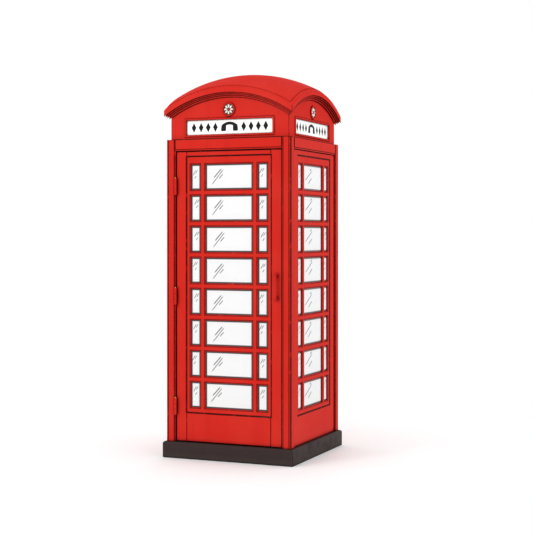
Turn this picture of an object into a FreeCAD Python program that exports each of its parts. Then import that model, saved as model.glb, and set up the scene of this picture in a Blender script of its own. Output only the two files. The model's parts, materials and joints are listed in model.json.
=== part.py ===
"""Street telephone kiosk of cast iron with a teak door, +Z up, sizes in millimetres.

The origin is the middle of the kiosk's footprint on the ground.  The door is on the -Y side and hangs
on its -X edge, the windows are on the -X and +X sides, and the blank panel with the coin telephone is
on the +Y side.  A piece that repeats on several sides is built for the -Y side and turned about Z.
Depths on a side are measured inwards from the outer face of the body.
"""
import FreeCAD, Part
import math
import os

from FreeCAD import Vector

# ---------------------------------------------------------------- driving sizes
# plinth and floor
PLINTH_HEIGHT = 105.0
PLINTH_LEDGE = 20.5          # how far the plinth stands out past the body
PLINTH_WALL = 8.0
PLINTH_BEVEL = 10.0
SILL_FLANGE = 60.0           # inward foot of each sill, under the floor slab
SILL_FLANGE_THICK = 20.0
SLAB_DROP = 5.0              # floor level below the top of the plinth
SLAB_GAP = 0.5
ANCHOR_HOLE_R = 9.0
ANCHOR_FROM_CORNER = 115.0   # along the front and back sills, from the opening's corner
DUCT_R = 25.0
DUCT_FROM_BOARD = 105.0
THRESHOLD_HEIGHT = 9.0

# body
BODY_WIDTH = 874.0
BODY_HEIGHT = 1963.0
POST_FACE = 63.0
POST_WALL = 7.0
POST_CORNER_R = 6.0
POST_STEP_WIDTH = 10.0       # stepped margin round each opening
POST_STEP_DEPTH = 4.0
QUIRK = 3.0                  # shallow groove beside each outer corner
QUIRK_FROM_CORNER = 12.0
LINTEL_HEIGHT = 75.0
LINTEL_WALL = 8.0
STOP_LIP = 14.0              # lap of the rebate behind a door or window frame

# door and window frames
LEAF_RECESS = 10.0
LEAF_THICKNESS = 38.0
SEAL_GAP = 1.0
STILE_WIDTH = 78.0           # from the opening's edge to the glazed sash
TOP_RAIL = 38.0
BOTTOM_RAIL = 194.0
SASH_RECESS = 4.0
SASH_CHAMFER = 8.0
SASH_LIP = 10.0              # lap behind the glazing grid
FRAME_PLATE = 7.0            # thickness of the hollow-backed window frames
FRAME_RIB = 8.0

# glazing
PANE_ROWS = 8
NARROW_PANE = 64.0
MULLION = 40.0
TRANSOM = 40.0
GRID_BORDER = 28.0
GRID_BORDER_TOP = 51.0
GRID_BORDER_BOTTOM = 34.0
GRID_THICK = 18.0
BAR_BEVEL = 7.0
BAR_BEVEL_DEPTH = 8.0
GLASS_SEAT = 10.0            # from the grid's front to the face of the glass
GLASS_LAP = 6.0
GLASS_THICK = 4.0
GLASS_PLAY = 0.5

# door furniture
HINGE_SIDE_GAP = 6.0
LOCK_SIDE_GAP = 4.0
DOOR_TOP_GAP = 4.0
DOOR_BOTTOM_GAP = 6.0
HINGE_HEIGHT = 110.0
HINGE_FROM_END = 170.0       # from each end of the door to the near end of a hinge
KNUCKLE_R = 8.0
KNUCKLE_PROUD = 5.0          # hinge axis in front of the posts' outer face
KNUCKLE_PLAY = 0.5
LEAF_PLATE_PLAY = 0.25
HINGE_PIN_R = 3.5
RUNNING_PLAY = 0.06
PULL_HEIGHT = 1120.0
PULL_LENGTH = 150.0
PULL_ROSE_R = 15.0
PULL_ROSE_THICK = 4.0
PULL_BAR_R = 5.5
PULL_REACH = 24.5            # from the door's face to the middle of the bar
KICK_HEIGHT = 150.0
KICK_THICK = 2.0
KICK_MARGIN = 20.0

# back panel
PANEL_PLATE = 7.0
PANEL_SET_IN = 6.0           # plate behind the panel's own rim
PANEL_RIM = 30.0
PANEL_BEAD = 22.0
PANEL_BEAD_CHAMFER = 4.0
PANEL_BATTEN = 12.0          # two upright ribs that the telephone's board is screwed to
BATTEN_FROM_BOARD_EDGE = 18.0

# roof
FASCIA_INSET = 22.0
FASCIA_WALL = 8.0
EAVES_OVERHANG = 36.0
EAVES_CORNER_RISE = 190.0    # shoulder to the lowest corner of the eaves
DOME_RISE = 252.0            # that corner to the top of the rim's own sphere
DOME_STEP = 5.0              # the dome's field stands this far above its rim
DOME_RIM_WIDTH = 20.0
DOME_SHELL = 8.0
CORNICE_BANDS = ((28.0, 0.0), (12.0, 9.0), (12.0, 17.0), (14.0, 26.0))  # (thickness, set back)
ROOF_FLANGE_LAP = 9.0         # how far the flange reaches in past the lintels, over the ceiling
ROOF_FLANGE_THICK = 12.0
SIGN_WIDTH = 606.0
SIGN_HEIGHT = 93.0
SIGN_ABOVE_SHOULDER = 29.0
SIGN_FRAME = 13.0
SIGN_FRAME_PROUD = 6.0
SIGN_GLASS_THICK = 6.0
SIGN_GLASS_LAP = 8.0
SIGN_RETAINER_THICK = 4.0
ORNAMENT_R = 44.0
ORNAMENT_ABOVE_SIGN = 16.0
ORNAMENT_BASE = 5.0
ORNAMENT_RELIEF = 6.0
ORNAMENT_STUDS = 10
BOLT_R = 6.0
BOLT_HOLE_PLAY = 0.5
BOLT_HEAD_R = 10.0
BOLT_HEAD_THICK = 8.0
BOLT_SPACING = 400.0

# ceiling and lamp
CEILING_THICK = 3.0
CEILING_GAP = 1.0
LAMP_HOLE_R = 110.0
LAMP_BOWL_DROP = 45.0
LAMP_BOWL_WALL = 4.0
LAMP_RIM = 14.0
LAMP_STRAP_WIDTH = 40.0
LAMP_STRAP_THICK = 4.0
LAMP_STRAP_RISE = 62.0
LAMP_STRAP_PLAY = 1.0
LAMP_CAP_R = 18.0
LAMP_CAP_LENGTH = 26.0
BULB_R = 28.0

# telephone board, shelf and notice frame
BOARD_THICK = 18.0
BOARD_SIDE_GAP = 2.0
BOARD_BELOW_LINTEL = 93.0
BOARD_HEIGHT = 1260.0
SHELF_BELOW_PHONE = 115.0
SHELF_WIDTH = 460.0
SHELF_DEPTH = 190.0
SHELF_THICK = 18.0
BRACKET_THICK = 6.0
BRACKET_DROP = 130.0
NOTICE_WIDTH = 520.0
NOTICE_HEIGHT = 170.0
NOTICE_BELOW_BOARD_TOP = 30.0
NOTICE_RIM = 18.0
NOTICE_THICK = 12.0
NOTICE_PANEL_THICK = 5.0

# coin telephone
PHONE_WIDTH = 300.0
PHONE_HEIGHT = 450.0
PHONE_DEPTH = 140.0
PHONE_BELOW_BOARD_TOP = 350.0
PHONE_WALL = 3.0
PHONE_CORNER_R = 16.0
HANDLE_R = 12.0
HANDLE_BEND_R = 300.0
HANDLE_ABOVE_CASE = 46.0
HEAD_SPACING = 185.0
HEAD_R = 28.0
HEAD_HEIGHT = 34.0
HEAD_CLEARANCE = 5.0
CRADLE_SPACING = 110.0
CRADLE_THICK = 12.0
CRADLE_DEPTH = 46.0
CRADLE_PLAY = 0.3
CRADLE_BASE = 8.0
PLUNGER_R = 3.0
PLUNGER_GAP = 0.3
PLUNGER_FOOT = 3.0           # stays in its bore at the top of the travel
SHAFT_PLAY = 0.1
HANDSET_TO_BOARD = 70.0
DIAL_ABOVE_BOTTOM = 300.0
DIAL_PLATE_R = 54.0
DIAL_PLATE_THICK = 5.0
FINGER_WHEEL_R = 43.0
FINGER_WHEEL_THICK = 3.0
FINGER_WHEEL_GAP = 3.0
FINGER_HOLE_R = 7.0
FINGER_HOLE_CIRCLE = 32.0
FIRST_HOLE_DEG = 55.0
HOLE_STEP_DEG = 26.0
FINGER_HOLES = 10
SPINDLE_R = 4.0
SPINDLE_COLLAR_R = 8.0
SPINDLE_COLLAR_THICK = 4.0
FINGER_STOP_DEG = -40.0
COIN_PLATE_WIDTH = 62.0
COIN_PLATE_HEIGHT = 58.0
COIN_PLATE_THICK = 4.0
COIN_SLOT_WIDTH = 5.0
COIN_SLOT_HEIGHT = 36.0
COIN_SIDE_X = 100.0
COIN_PLATE_BELOW_TOP = 55.0
BUTTON_R = 11.0
BUTTON_PROUD = 9.0
BUTTON_COLLAR_R = 14.0
BUTTON_COLLAR_THICK = 3.0
BUTTON_BEHIND = 14.0
BUTTON_BELOW_TOP = 118.0
CUP_WIDTH = 62.0
CUP_HEIGHT = 54.0
CUP_DEPTH = 60.0
CUP_WALL = 2.0
CUP_BEZEL = 6.0
CUP_ABOVE_BOTTOM = 65.0
FLAP_PLAY = 1.0
FLAP_THICK = 2.0
FLAP_BARREL_R = 3.0
FLAP_PIN_R = 1.5
CASH_DOOR_WIDTH = 170.0
CASH_DOOR_HEIGHT = 116.0
CASH_DOOR_THICK = 4.0
CASH_DOOR_LAP = 8.0
CASH_DOOR_PLAY = 0.3
CASH_DOOR_X = -40.0
CASH_DOOR_ABOVE_BOTTOM = 66.0
CANISTER_PLAY = 4.0          # round the canister in its doorway
RUNNER_WIDTH = 8.0
RUNNER_FROM_EDGE = 14.0
CANISTER_LIFT = 0.5          # runners stand this far above the doorway's sill
CANISTER_BACK_GAP = 8.0
CANISTER_FRONT_GAP = 20.0
GLAND_X = -125.0             # outlet of the handset's cord, under the case
GLAND_R = 9.0
GLAND_BORE_R = 5.0
GLAND_LENGTH = 10.0
CASH_BARREL_R = 4.0
CASH_PIN_R = 2.0
CASH_LUG = 12.0
CASH_LOCK_R = 10.0
CASH_LOCK_PROUD = 4.0
CASH_LOCK_BEHIND = 10.0
CASH_PLUG_R = 6.0
CASH_CAM_THICK = 3.0
CASH_CAM_REACH = 26.0
MECHANISM_WIDTH = 30.0
MECHANISM_DEPTH = 60.0
MECHANISM_WALL = 2.0

# ---------------------------------------------------------------- sizes that follow
HALF = BODY_WIDTH / 2
PLINTH_HALF = HALF + PLINTH_LEDGE
OPENING_HALF = HALF - POST_FACE
SHOULDER_Z = PLINTH_HEIGHT + BODY_HEIGHT
LINTEL_Z = SHOULDER_Z - LINTEL_HEIGHT
STOP_DEPTH = LEAF_RECESS + LEAF_THICKNESS + SEAL_GAP
LIP_DEPTH = POST_FACE + STOP_LIP
SASH_HALF = OPENING_HALF - STILE_WIDTH
SASH_Z0 = PLINTH_HEIGHT + BOTTOM_RAIL
SASH_Z1 = LINTEL_Z - TOP_RAIL
GRID_FRONT = LEAF_RECESS + SASH_RECESS
GRID_BACK = GRID_FRONT + GRID_THICK
WIDE_PANE = 2 * (SASH_HALF - GRID_BORDER - MULLION - NARROW_PANE)
PANE_HEIGHT = (SASH_Z1 - SASH_Z0 - GRID_BORDER_TOP - GRID_BORDER_BOTTOM
               - (PANE_ROWS - 1) * TRANSOM) / PANE_ROWS
DOOR_X0 = -OPENING_HALF + HINGE_SIDE_GAP
DOOR_X1 = OPENING_HALF - LOCK_SIDE_GAP
DOOR_Z0 = PLINTH_HEIGHT + DOOR_BOTTOM_GAP
DOOR_Z1 = LINTEL_Z - DOOR_TOP_GAP
DOOR_BACK = LEAF_RECESS + LEAF_THICKNESS
HINGE_X = -OPENING_HALF + HINGE_SIDE_GAP / 2
HINGE_Y = -HALF - KNUCKLE_PROUD
FASCIA_HALF = HALF - FASCIA_INSET
EAVES_HALF = FASCIA_HALF + EAVES_OVERHANG
EAVES_CORNER = EAVES_HALF * math.sqrt(2)
RIM_R = (EAVES_CORNER ** 2 + DOME_RISE ** 2) / (2 * DOME_RISE)
RIM_CENTRE = Vector(0, 0, SHOULDER_Z + EAVES_CORNER_RISE + DOME_RISE - RIM_R)
SIGN_Z0 = SHOULDER_Z + SIGN_ABOVE_SHOULDER
SIGN_Z1 = SIGN_Z0 + SIGN_HEIGHT
BOARD_BACK_Y = HALF - STOP_DEPTH
BOARD_Y = BOARD_BACK_Y - BOARD_THICK
BOARD_HALF = HALF - LIP_DEPTH - BOARD_SIDE_GAP
BOARD_TOP = LINTEL_Z - BOARD_BELOW_LINTEL
BOARD_BOTTOM = BOARD_TOP - BOARD_HEIGHT
NOTICE_BOTTOM = BOARD_TOP - NOTICE_BELOW_BOARD_TOP - NOTICE_HEIGHT
PHONE_FRONT_Y = BOARD_Y - PHONE_DEPTH
PHONE_TOP = BOARD_TOP - PHONE_BELOW_BOARD_TOP
PHONE_BOTTOM = PHONE_TOP - PHONE_HEIGHT
SHELF_HEIGHT = PHONE_BOTTOM - SHELF_BELOW_PHONE
HANDLE_Z = PHONE_TOP + HANDLE_ABOVE_CASE
HANDSET_Y = BOARD_Y - HANDSET_TO_BOARD
CASH_X0 = CASH_DOOR_X - CASH_DOOR_WIDTH / 2
CASH_AXIS_Y = PHONE_FRONT_Y - CASH_DOOR_PLAY - CASH_BARREL_R
CASH_Z = PHONE_BOTTOM + CASH_DOOR_ABOVE_BOTTOM
DOORWAY_X = (CASH_X0 + CASH_DOOR_LAP, CASH_X0 + CASH_DOOR_WIDTH - CASH_DOOR_LAP)
DOORWAY_Z = (CASH_Z - CASH_DOOR_HEIGHT / 2 + CASH_DOOR_LAP, CASH_Z + CASH_DOOR_HEIGHT / 2 - CASH_DOOR_LAP)
CUP_Z = PHONE_BOTTOM + CUP_ABOVE_BOTTOM


# ---------------------------------------------------------------- small helpers
def box(x0, x1, y0, y1, z0, z1):
    """Block between two corners."""
    return Part.makeBox(x1 - x0, y1 - y0, z1 - z0, Vector(x0, y0, z0))


def rod_x(x0, x1, y, z, r):
    return Part.makeCylinder(r, x1 - x0, Vector(x0, y, z), Vector(1, 0, 0))


def rod_y(x, y0, y1, z, r):
    return Part.makeCylinder(r, y1 - y0, Vector(x, y0, z), Vector(0, 1, 0))


def rod_z(x, y, z0, z1, r):
    return Part.makeCylinder(r, z1 - z0, Vector(x, y, z0), Vector(0, 0, 1))


def prism_z(points, z0, z1):
    """Polygon of (x, y) points, raised from z0 to z1."""
    wire = Part.makePolygon([Vector(x, y, z0) for x, y in points + points[:1]])
    return Part.Face(wire).extrude(Vector(0, 0, z1 - z0))


def prism_x(points, x0, x1):
    """Polygon of (y, z) points, drawn out from x0 to x1."""
    wire = Part.makePolygon([Vector(x0, y, z) for y, z in points + points[:1]])
    return Part.Face(wire).extrude(Vector(x1 - x0, 0, 0))


def tapered(u, z0, z1, y0, y1, grow):
    """Block u0..u1 by z0..z1 at y1, larger by grow on every side at y0."""
    return Part.makeWedge(u[0] - grow, y0, z0 - grow, z0, u[0], u[1] + grow, y1, z1 + grow, z1, u[1])


def cut(shape, *tools):
    return shape.cut(list(tools))


def join(*shapes):
    """One solid of shapes that overlap or share a face."""
    return shapes[0].fuse(list(shapes[1:])).removeSplitter()


def group(shapes):
    return Part.makeCompound(list(shapes))


def turned(shape, quarter_turns):
    """Copy turned about the kiosk's vertical axis."""
    copy = shape.copy()
    copy.rotate(Vector(0, 0, 0), Vector(0, 0, 1), 90 * quarter_turns)
    return copy


def rounded(shape, radius, wanted):
    """Shape with a fillet on each edge whose middle passes the test."""
    edges = [e for e in shape.Edges if wanted(e.CenterOfMass)]
    return shape.makeFillet(radius, edges)


def depth_y(depth):
    """Y of a depth on the -Y side."""
    return -HALF + depth


# ---------------------------------------------------------------- plinth and floor
def sill():
    """Hollow mitred sill of the -Y side, with its foot under the floor slab."""
    out, mid, foot = PLINTH_HALF, OPENING_HALF, OPENING_HALF - SILL_FLANGE
    body = prism_z([(-out, -out), (out, -out), (mid, -mid), (-mid, -mid)], 0, PLINTH_HEIGHT)
    bevel = prism_x([(-out, PLINTH_HEIGHT), (-out, PLINTH_HEIGHT - PLINTH_BEVEL),
                     (-out + PLINTH_BEVEL, PLINTH_HEIGHT)], -out, out)
    high, low = out - PLINTH_WALL, mid + PLINTH_WALL
    end = PLINTH_WALL * math.sqrt(2)
    hollow = prism_z([(-high + end, -high), (high - end, -high), (low - end, -low), (-low + end, -low)],
                     0, PLINTH_HEIGHT - PLINTH_WALL)
    flange = prism_z([(-mid, -mid), (mid, -mid), (foot, -foot), (-foot, -foot)], 0, SILL_FLANGE_THICK)
    return join(cut(body, bevel, hollow), flange)


def anchor_holes(z0, z1):
    """The four anchor-bolt holes, through the front and back sills' feet and the slab."""
    y = OPENING_HALF - SILL_FLANGE / 2
    x = OPENING_HALF - ANCHOR_FROM_CORNER
    return [rod_z(sx * x, sy * y, z0, z1, ANCHOR_HOLE_R) for sx in (-1, 1) for sy in (-1, 1)]


def front_sill():
    """Front sill with the threshold bar that the door shuts against."""
    half = OPENING_HALF - STOP_LIP
    bar = box(-half, half, depth_y(STOP_DEPTH), depth_y(POST_FACE), PLINTH_HEIGHT - PLINTH_WALL,
              PLINTH_HEIGHT + THRESHOLD_HEIGHT)
    return cut(join(sill(), bar), *anchor_holes(0, SILL_FLANGE_THICK))


def floor_slab():
    """Concrete floor, dropped in over the sills' feet, with the cable duct."""
    half = OPENING_HALF - SLAB_GAP
    foot = OPENING_HALF - SILL_FLANGE - SLAB_GAP
    top = PLINTH_HEIGHT - SLAB_DROP
    slab = join(box(-half, half, -half, half, SILL_FLANGE_THICK, top),
                box(-foot, foot, -foot, foot, 0, SILL_FLANGE_THICK))
    duct = rod_z(0, BOARD_Y - DUCT_FROM_BOARD, 0, top, DUCT_R)
    return cut(slab, duct, *anchor_holes(SILL_FLANGE_THICK, top))


# ---------------------------------------------------------------- posts and lintels
def post():
    """Hollow corner post of the -X -Y corner, with the rebate lips of both openings."""
    def at(a, b):
        return (-HALF + a, -HALF + b)

    z0, z1 = PLINTH_HEIGHT, SHOULDER_Z
    face, inner = POST_FACE - POST_STEP_WIDTH, LIP_DEPTH
    outline = [at(0, 0), at(face, 0), at(face, POST_STEP_DEPTH), at(POST_FACE, POST_STEP_DEPTH),
               at(POST_FACE, STOP_DEPTH), at(inner, STOP_DEPTH), at(inner, inner),
               at(STOP_DEPTH, inner), at(STOP_DEPTH, POST_FACE), at(POST_STEP_DEPTH, POST_FACE),
               at(POST_STEP_DEPTH, face), at(0, face)]
    body = prism_z(outline, z0, z1)
    body = rounded(body, POST_CORNER_R, lambda c: c.x < -HALF + 0.01 and c.y < -HALF + 0.01)
    core0, core1 = -HALF + POST_WALL, -HALF + POST_FACE - POST_WALL
    q = QUIRK_FROM_CORNER
    quirks = [box(-HALF + q, -HALF + q + QUIRK, -HALF - 1, -HALF + QUIRK, z0, z1),
              box(-HALF - 1, -HALF + QUIRK, -HALF + q, -HALF + q + QUIRK, z0, z1)]
    return cut(body, box(core0, core1, core0, core1, z0, z1), *quirks)


def lintel_bolt_places():
    """(x, y) of the roof bolts on the -Y side."""
    y = -FASCIA_HALF + FASCIA_WALL + BOLT_HEAD_R + 1
    return [(-BOLT_SPACING / 2, y), (BOLT_SPACING / 2, y)]


def lintel():
    """Channel-backed lintel of the -Y side, between the posts."""
    half, lip_half = OPENING_HALF, OPENING_HALF - STOP_LIP
    step_z = LINTEL_Z + POST_STEP_WIDTH
    face = prism_x([(depth_y(0), SHOULDER_Z), (depth_y(0), step_z), (depth_y(POST_STEP_DEPTH), step_z),
                    (depth_y(POST_STEP_DEPTH), LINTEL_Z), (depth_y(STOP_DEPTH), LINTEL_Z),
                    (depth_y(STOP_DEPTH), SHOULDER_Z)], -half, half)
    back = box(-lip_half, lip_half, depth_y(STOP_DEPTH), depth_y(POST_FACE), LINTEL_Z - STOP_LIP,
               SHOULDER_Z)
    channel = box(-lip_half, lip_half, depth_y(POST_STEP_DEPTH + LINTEL_WALL), depth_y(POST_FACE),
                  LINTEL_Z + LINTEL_WALL, SHOULDER_Z - LINTEL_WALL)
    holes = [rod_z(x, y, SHOULDER_Z - LINTEL_WALL, SHOULDER_Z, BOLT_R + BOLT_HOLE_PLAY)
             for x, y in lintel_bolt_places()]
    return cut(join(face, back), channel, *holes)


# ---------------------------------------------------------------- glazing
def pane_openings():
    """((x0, x1), (z0, z1)) of every pane of the -Y side."""
    x0 = -SASH_HALF + GRID_BORDER
    x1 = x0 + NARROW_PANE + MULLION
    columns = [(x0, x0 + NARROW_PANE), (x1, x1 + WIDE_PANE), (-x0 - NARROW_PANE, -x0)]
    z0 = SASH_Z0 + GRID_BORDER_BOTTOM
    rows = [z0 + n * (PANE_HEIGHT + TRANSOM) for n in range(PANE_ROWS)]
    return [(column, (z, z + PANE_HEIGHT)) for z in rows for column in columns]


def glazing_grid():
    """Cast grid of bars: bevelled outside, rebated for the panes inside."""
    front, back = depth_y(GRID_FRONT), depth_y(GRID_BACK)
    plate = box(-SASH_HALF, SASH_HALF, front, back, SASH_Z0, SASH_Z1)
    tools = []
    for x, z in pane_openings():
        tools.append(tapered(x, z[0], z[1], front, front + BAR_BEVEL_DEPTH, BAR_BEVEL))
        tools.append(box(x[0], x[1], front, back, z[0], z[1]))
        tools.append(box(x[0] - GLASS_LAP, x[1] + GLASS_LAP, front + GLASS_SEAT, back,
                         z[0] - GLASS_LAP, z[1] + GLASS_LAP))
    return cut(plate, *tools)


def pane_block(x, z, y0, y1):
    lap = GLASS_LAP - GLASS_PLAY
    return box(x[0] - lap, x[1] + lap, y0, y1, z[0] - lap, z[1] + lap)


def glass_panes():
    y0 = depth_y(GRID_FRONT + GLASS_SEAT)
    return group(pane_block(x, z, y0, y0 + GLASS_THICK) for x, z in pane_openings())


def glazing_beads():
    """Frame behind each pane that holds it in its rebate."""
    y0, y1 = depth_y(GRID_FRONT + GLASS_SEAT + GLASS_THICK), depth_y(GRID_BACK)
    return group(cut(pane_block(x, z, y0, y1), box(x[0], x[1], y0, y1, z[0], z[1]))
                 for x, z in pane_openings())


# ---------------------------------------------------------------- window frames and back panel
def sash_cutter():
    """What the sash leaves out of a door or window frame: chamfer, seat and the hole behind the lip."""
    x = (-SASH_HALF, SASH_HALF)
    front = depth_y(LEAF_RECESS)
    chamfer = tapered(x, SASH_Z0, SASH_Z1, front, depth_y(GRID_FRONT), SASH_CHAMFER)
    seat = box(*x, front, depth_y(GRID_BACK), SASH_Z0, SASH_Z1)
    behind = box(x[0] + SASH_LIP, x[1] - SASH_LIP, front, depth_y(STOP_DEPTH), SASH_Z0 + SASH_LIP,
                 SASH_Z1 - SASH_LIP)
    return [chamfer, seat, behind]


def window_frame():
    """Hollow-backed cast frame of a window, seated on the rebate lips."""
    y0, y1 = depth_y(LEAF_RECESS), depth_y(STOP_DEPTH)
    plate = box(-OPENING_HALF, OPENING_HALF, y0, y1, PLINTH_HEIGHT, LINTEL_Z)
    x_out, x_in = OPENING_HALF - FRAME_RIB, SASH_HALF + FRAME_RIB
    pocket_y = y0 + FRAME_PLATE
    z0, z1 = PLINTH_HEIGHT + FRAME_RIB, SASH_Z0 - FRAME_RIB
    pockets = [box(-x_out, x_out, pocket_y, y1, z0, z1),
               box(-x_out, -x_in, pocket_y, y1, z1 + FRAME_RIB, LINTEL_Z - FRAME_RIB),
               box(x_in, x_out, pocket_y, y1, z1 + FRAME_RIB, LINTEL_Z - FRAME_RIB)]
    return cut(plate, *sash_cutter(), *pockets)


def back_panel():
    """Blank cast panel of the back, built as the -Y side, with a bead where the sashes would be."""
    y0, y1 = depth_y(LEAF_RECESS), depth_y(STOP_DEPTH)
    block = box(-OPENING_HALF, OPENING_HALF, y0, y1, PLINTH_HEIGHT, LINTEL_Z)
    plate_y = y0 + PANEL_SET_IN
    x, z0, z1 = OPENING_HALF - PANEL_RIM, PLINTH_HEIGHT + PANEL_RIM, LINTEL_Z - PANEL_RIM
    outside = tapered((-x, x), z0, z1, y0, plate_y, PANEL_BEAD_CHAMFER)
    ribs, high = OPENING_HALF - FRAME_RIB, LINTEL_Z - FRAME_RIB
    inside = box(-ribs, ribs, plate_y + PANEL_PLATE, y1, PLINTH_HEIGHT + FRAME_RIB, high)
    batten_x = BOARD_HALF - BATTEN_FROM_BOARD_EDGE
    battens = [box(bx - PANEL_BATTEN, bx, plate_y, y1, PLINTH_HEIGHT, LINTEL_Z)
               for bx in (batten_x, PANEL_BATTEN - batten_x)]
    field = (-SASH_HALF, SASH_HALF)
    w = PANEL_BEAD
    ring = Part.makeWedge(field[0], y0, SASH_Z0, SASH_Z0 - PANEL_BEAD_CHAMFER, field[0] - PANEL_BEAD_CHAMFER,
                          field[1], plate_y, SASH_Z1, SASH_Z1 + PANEL_BEAD_CHAMFER,
                          field[1] + PANEL_BEAD_CHAMFER)
    hole = tapered((field[0] + w, field[1] - w), SASH_Z0 + w, SASH_Z1 - w, y0, plate_y,
                   PANEL_BEAD_CHAMFER)
    return join(cut(block, outside, inside), cut(ring, hole), *battens)


# ---------------------------------------------------------------- door
def door_blank(x0, x1, z0, z1):
    return box(x0, x1, depth_y(LEAF_RECESS), depth_y(DOOR_BACK), z0, z1)


def door_stile(x0, x1):
    """Teak stile between two edges, with the sash's chamfer and a lip over its whole length."""
    front = box(-SASH_HALF, SASH_HALF, depth_y(LEAF_RECESS), depth_y(GRID_BACK), DOOR_Z0, DOOR_Z1)
    return cut(door_blank(x0, x1, DOOR_Z0, DOOR_Z1), front, *sash_cutter())


def door_rail(z0, z1):
    """Teak rail between the stiles, fitted round their lips."""
    lip = SASH_HALF - SASH_LIP
    front = box(-SASH_HALF, SASH_HALF, depth_y(LEAF_RECESS), depth_y(GRID_BACK), z0, z1)
    back = box(-lip, lip, depth_y(GRID_BACK), depth_y(DOOR_BACK), z0, z1)
    return cut(join(front, back), *sash_cutter())


def door_pieces():
    lip = SASH_HALF - SASH_LIP
    return {
        "door_hinge_stile": door_stile(DOOR_X0, -lip),
        "door_closing_stile": door_stile(lip, DOOR_X1),
        "door_top_rail": door_rail(SASH_Z1 - SASH_LIP, DOOR_Z1),
        "door_bottom_rail": door_rail(DOOR_Z0, SASH_Z0 + SASH_LIP),
        "door_glazing_grid": glazing_grid(),
        "door_glass": glass_panes(),
        "door_glazing_beads": glazing_beads(),
        "door_pull": door_pull(),
        "door_kick_plate": kick_plate(),
    }


def door_pull():
    """Bow handle on two round roses, on the closing stile."""
    x = (SASH_HALF + SASH_CHAMFER + DOOR_X1) / 2
    face = depth_y(LEAF_RECESS)
    low, top = PULL_HEIGHT - PULL_LENGTH / 2, PULL_HEIGHT + PULL_LENGTH / 2
    bend = PULL_REACH / 2
    y_in, y_out = face - PULL_ROSE_THICK / 2, face - PULL_REACH
    s = math.sqrt(0.5) * bend
    path = Part.Wire([
        Part.makeLine(Vector(x, y_in, low), Vector(x, y_out + bend, low)),
        Part.Arc(Vector(x, y_out + bend, low), Vector(x, y_out + bend - s, low + bend - s),
                 Vector(x, y_out, low + bend)).toShape(),
        Part.makeLine(Vector(x, y_out, low + bend), Vector(x, y_out, top - bend)),
        Part.Arc(Vector(x, y_out, top - bend), Vector(x, y_out + bend - s, top - bend + s),
                 Vector(x, y_out + bend, top)).toShape(),
        Part.makeLine(Vector(x, y_out + bend, top), Vector(x, y_in, top)),
    ])
    section = Part.Wire(Part.makeCircle(PULL_BAR_R, Vector(x, y_in, low), Vector(0, 1, 0)))
    roses = [rod_y(x, face - PULL_ROSE_THICK, face, z, PULL_ROSE_R) for z in (low, top)]
    return join(path.makePipeShell([section], True, False), *roses)


def kick_plate():
    """Metal plate on the inside of the bottom rail."""
    half = SASH_HALF - KICK_MARGIN
    z0 = DOOR_Z0 + KICK_MARGIN
    y = depth_y(DOOR_BACK)
    return box(-half, half, y, y + KICK_THICK, z0, z0 + KICK_HEIGHT)


# ---------------------------------------------------------------- door hinges
def hinge_places():
    """Bottom of each of the three hinges."""
    low, high = DOOR_Z0 + HINGE_FROM_END, DOOR_Z1 - HINGE_FROM_END - HINGE_HEIGHT
    return [low, (low + high) / 2, high]


def knuckle_spans(z):
    """Bottom, middle and top knuckle of the hinge that starts at z."""
    third = HINGE_HEIGHT / 3
    return [(z, z + third), (z + third + KNUCKLE_PLAY, z + 2 * third - KNUCKLE_PLAY),
            (z + 2 * third, z + HINGE_HEIGHT)]


def hinge_leaf(z, x0, x1, own, other, bore):
    """Leaf plate from x0 to x1 with its own knuckles, clear of the other leaf's."""
    plate = box(x0, x1, HINGE_Y, depth_y(DOOR_BACK) - POST_STEP_DEPTH, z, z + HINGE_HEIGHT)
    clear = [rod_z(HINGE_X, HINGE_Y, a - KNUCKLE_PLAY, b + KNUCKLE_PLAY, KNUCKLE_R + KNUCKLE_PLAY)
             for a, b in other]
    barrels = [rod_z(HINGE_X, HINGE_Y, a, b, KNUCKLE_R) for a, b in own]
    bores = [rod_z(HINGE_X, HINGE_Y, z - 1, z + HINGE_HEIGHT + 1, bore)]
    return cut(join(cut(plate, *clear), *barrels), *bores)


def hinges():
    """Leaves on the post, leaves on the door, and the pins with their heads."""
    post_x = (-OPENING_HALF, HINGE_X - LEAF_PLATE_PLAY)
    door_x = (HINGE_X + LEAF_PLATE_PLAY, DOOR_X0)
    post_leaves, door_leaves, pins = [], [], []
    for z in hinge_places():
        low, middle, high = knuckle_spans(z)
        bore = HINGE_PIN_R + RUNNING_PLAY
        post_leaves.append(hinge_leaf(z, *post_x, [low, high], [middle], bore))
        door_leaves.append(hinge_leaf(z, *door_x, [middle], [low, high], bore))
        top = z + HINGE_HEIGHT
        head = Part.makeCone(KNUCKLE_R * 0.8, KNUCKLE_R * 0.4, KNUCKLE_R * 0.6,
                             Vector(HINGE_X, HINGE_Y, top))
        pins.append(join(rod_z(HINGE_X, HINGE_Y, z, top + 0.5, HINGE_PIN_R), head))
    return {"hinge_post_leaves": group(post_leaves), "hinge_door_leaves": group(door_leaves),
            "hinge_pins": group(pins)}


# ---------------------------------------------------------------- roof
def square_prism(half, z0, z1):
    return box(-half, half, -half, half, z0, z1)


def ball(radius):
    return Part.makeSphere(radius, RIM_CENTRE)


def sail_band(outer_r, inner_r, half):
    """Layer between two spheres, trimmed to a square plan."""
    z0, z1 = SHOULDER_Z + SIGN_ABOVE_SHOULDER, RIM_CENTRE.z + outer_r + 1
    layer = ball(outer_r).common(square_prism(half, z0, z1))
    return layer if inner_r is None else layer.cut(ball(inner_r))


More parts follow.
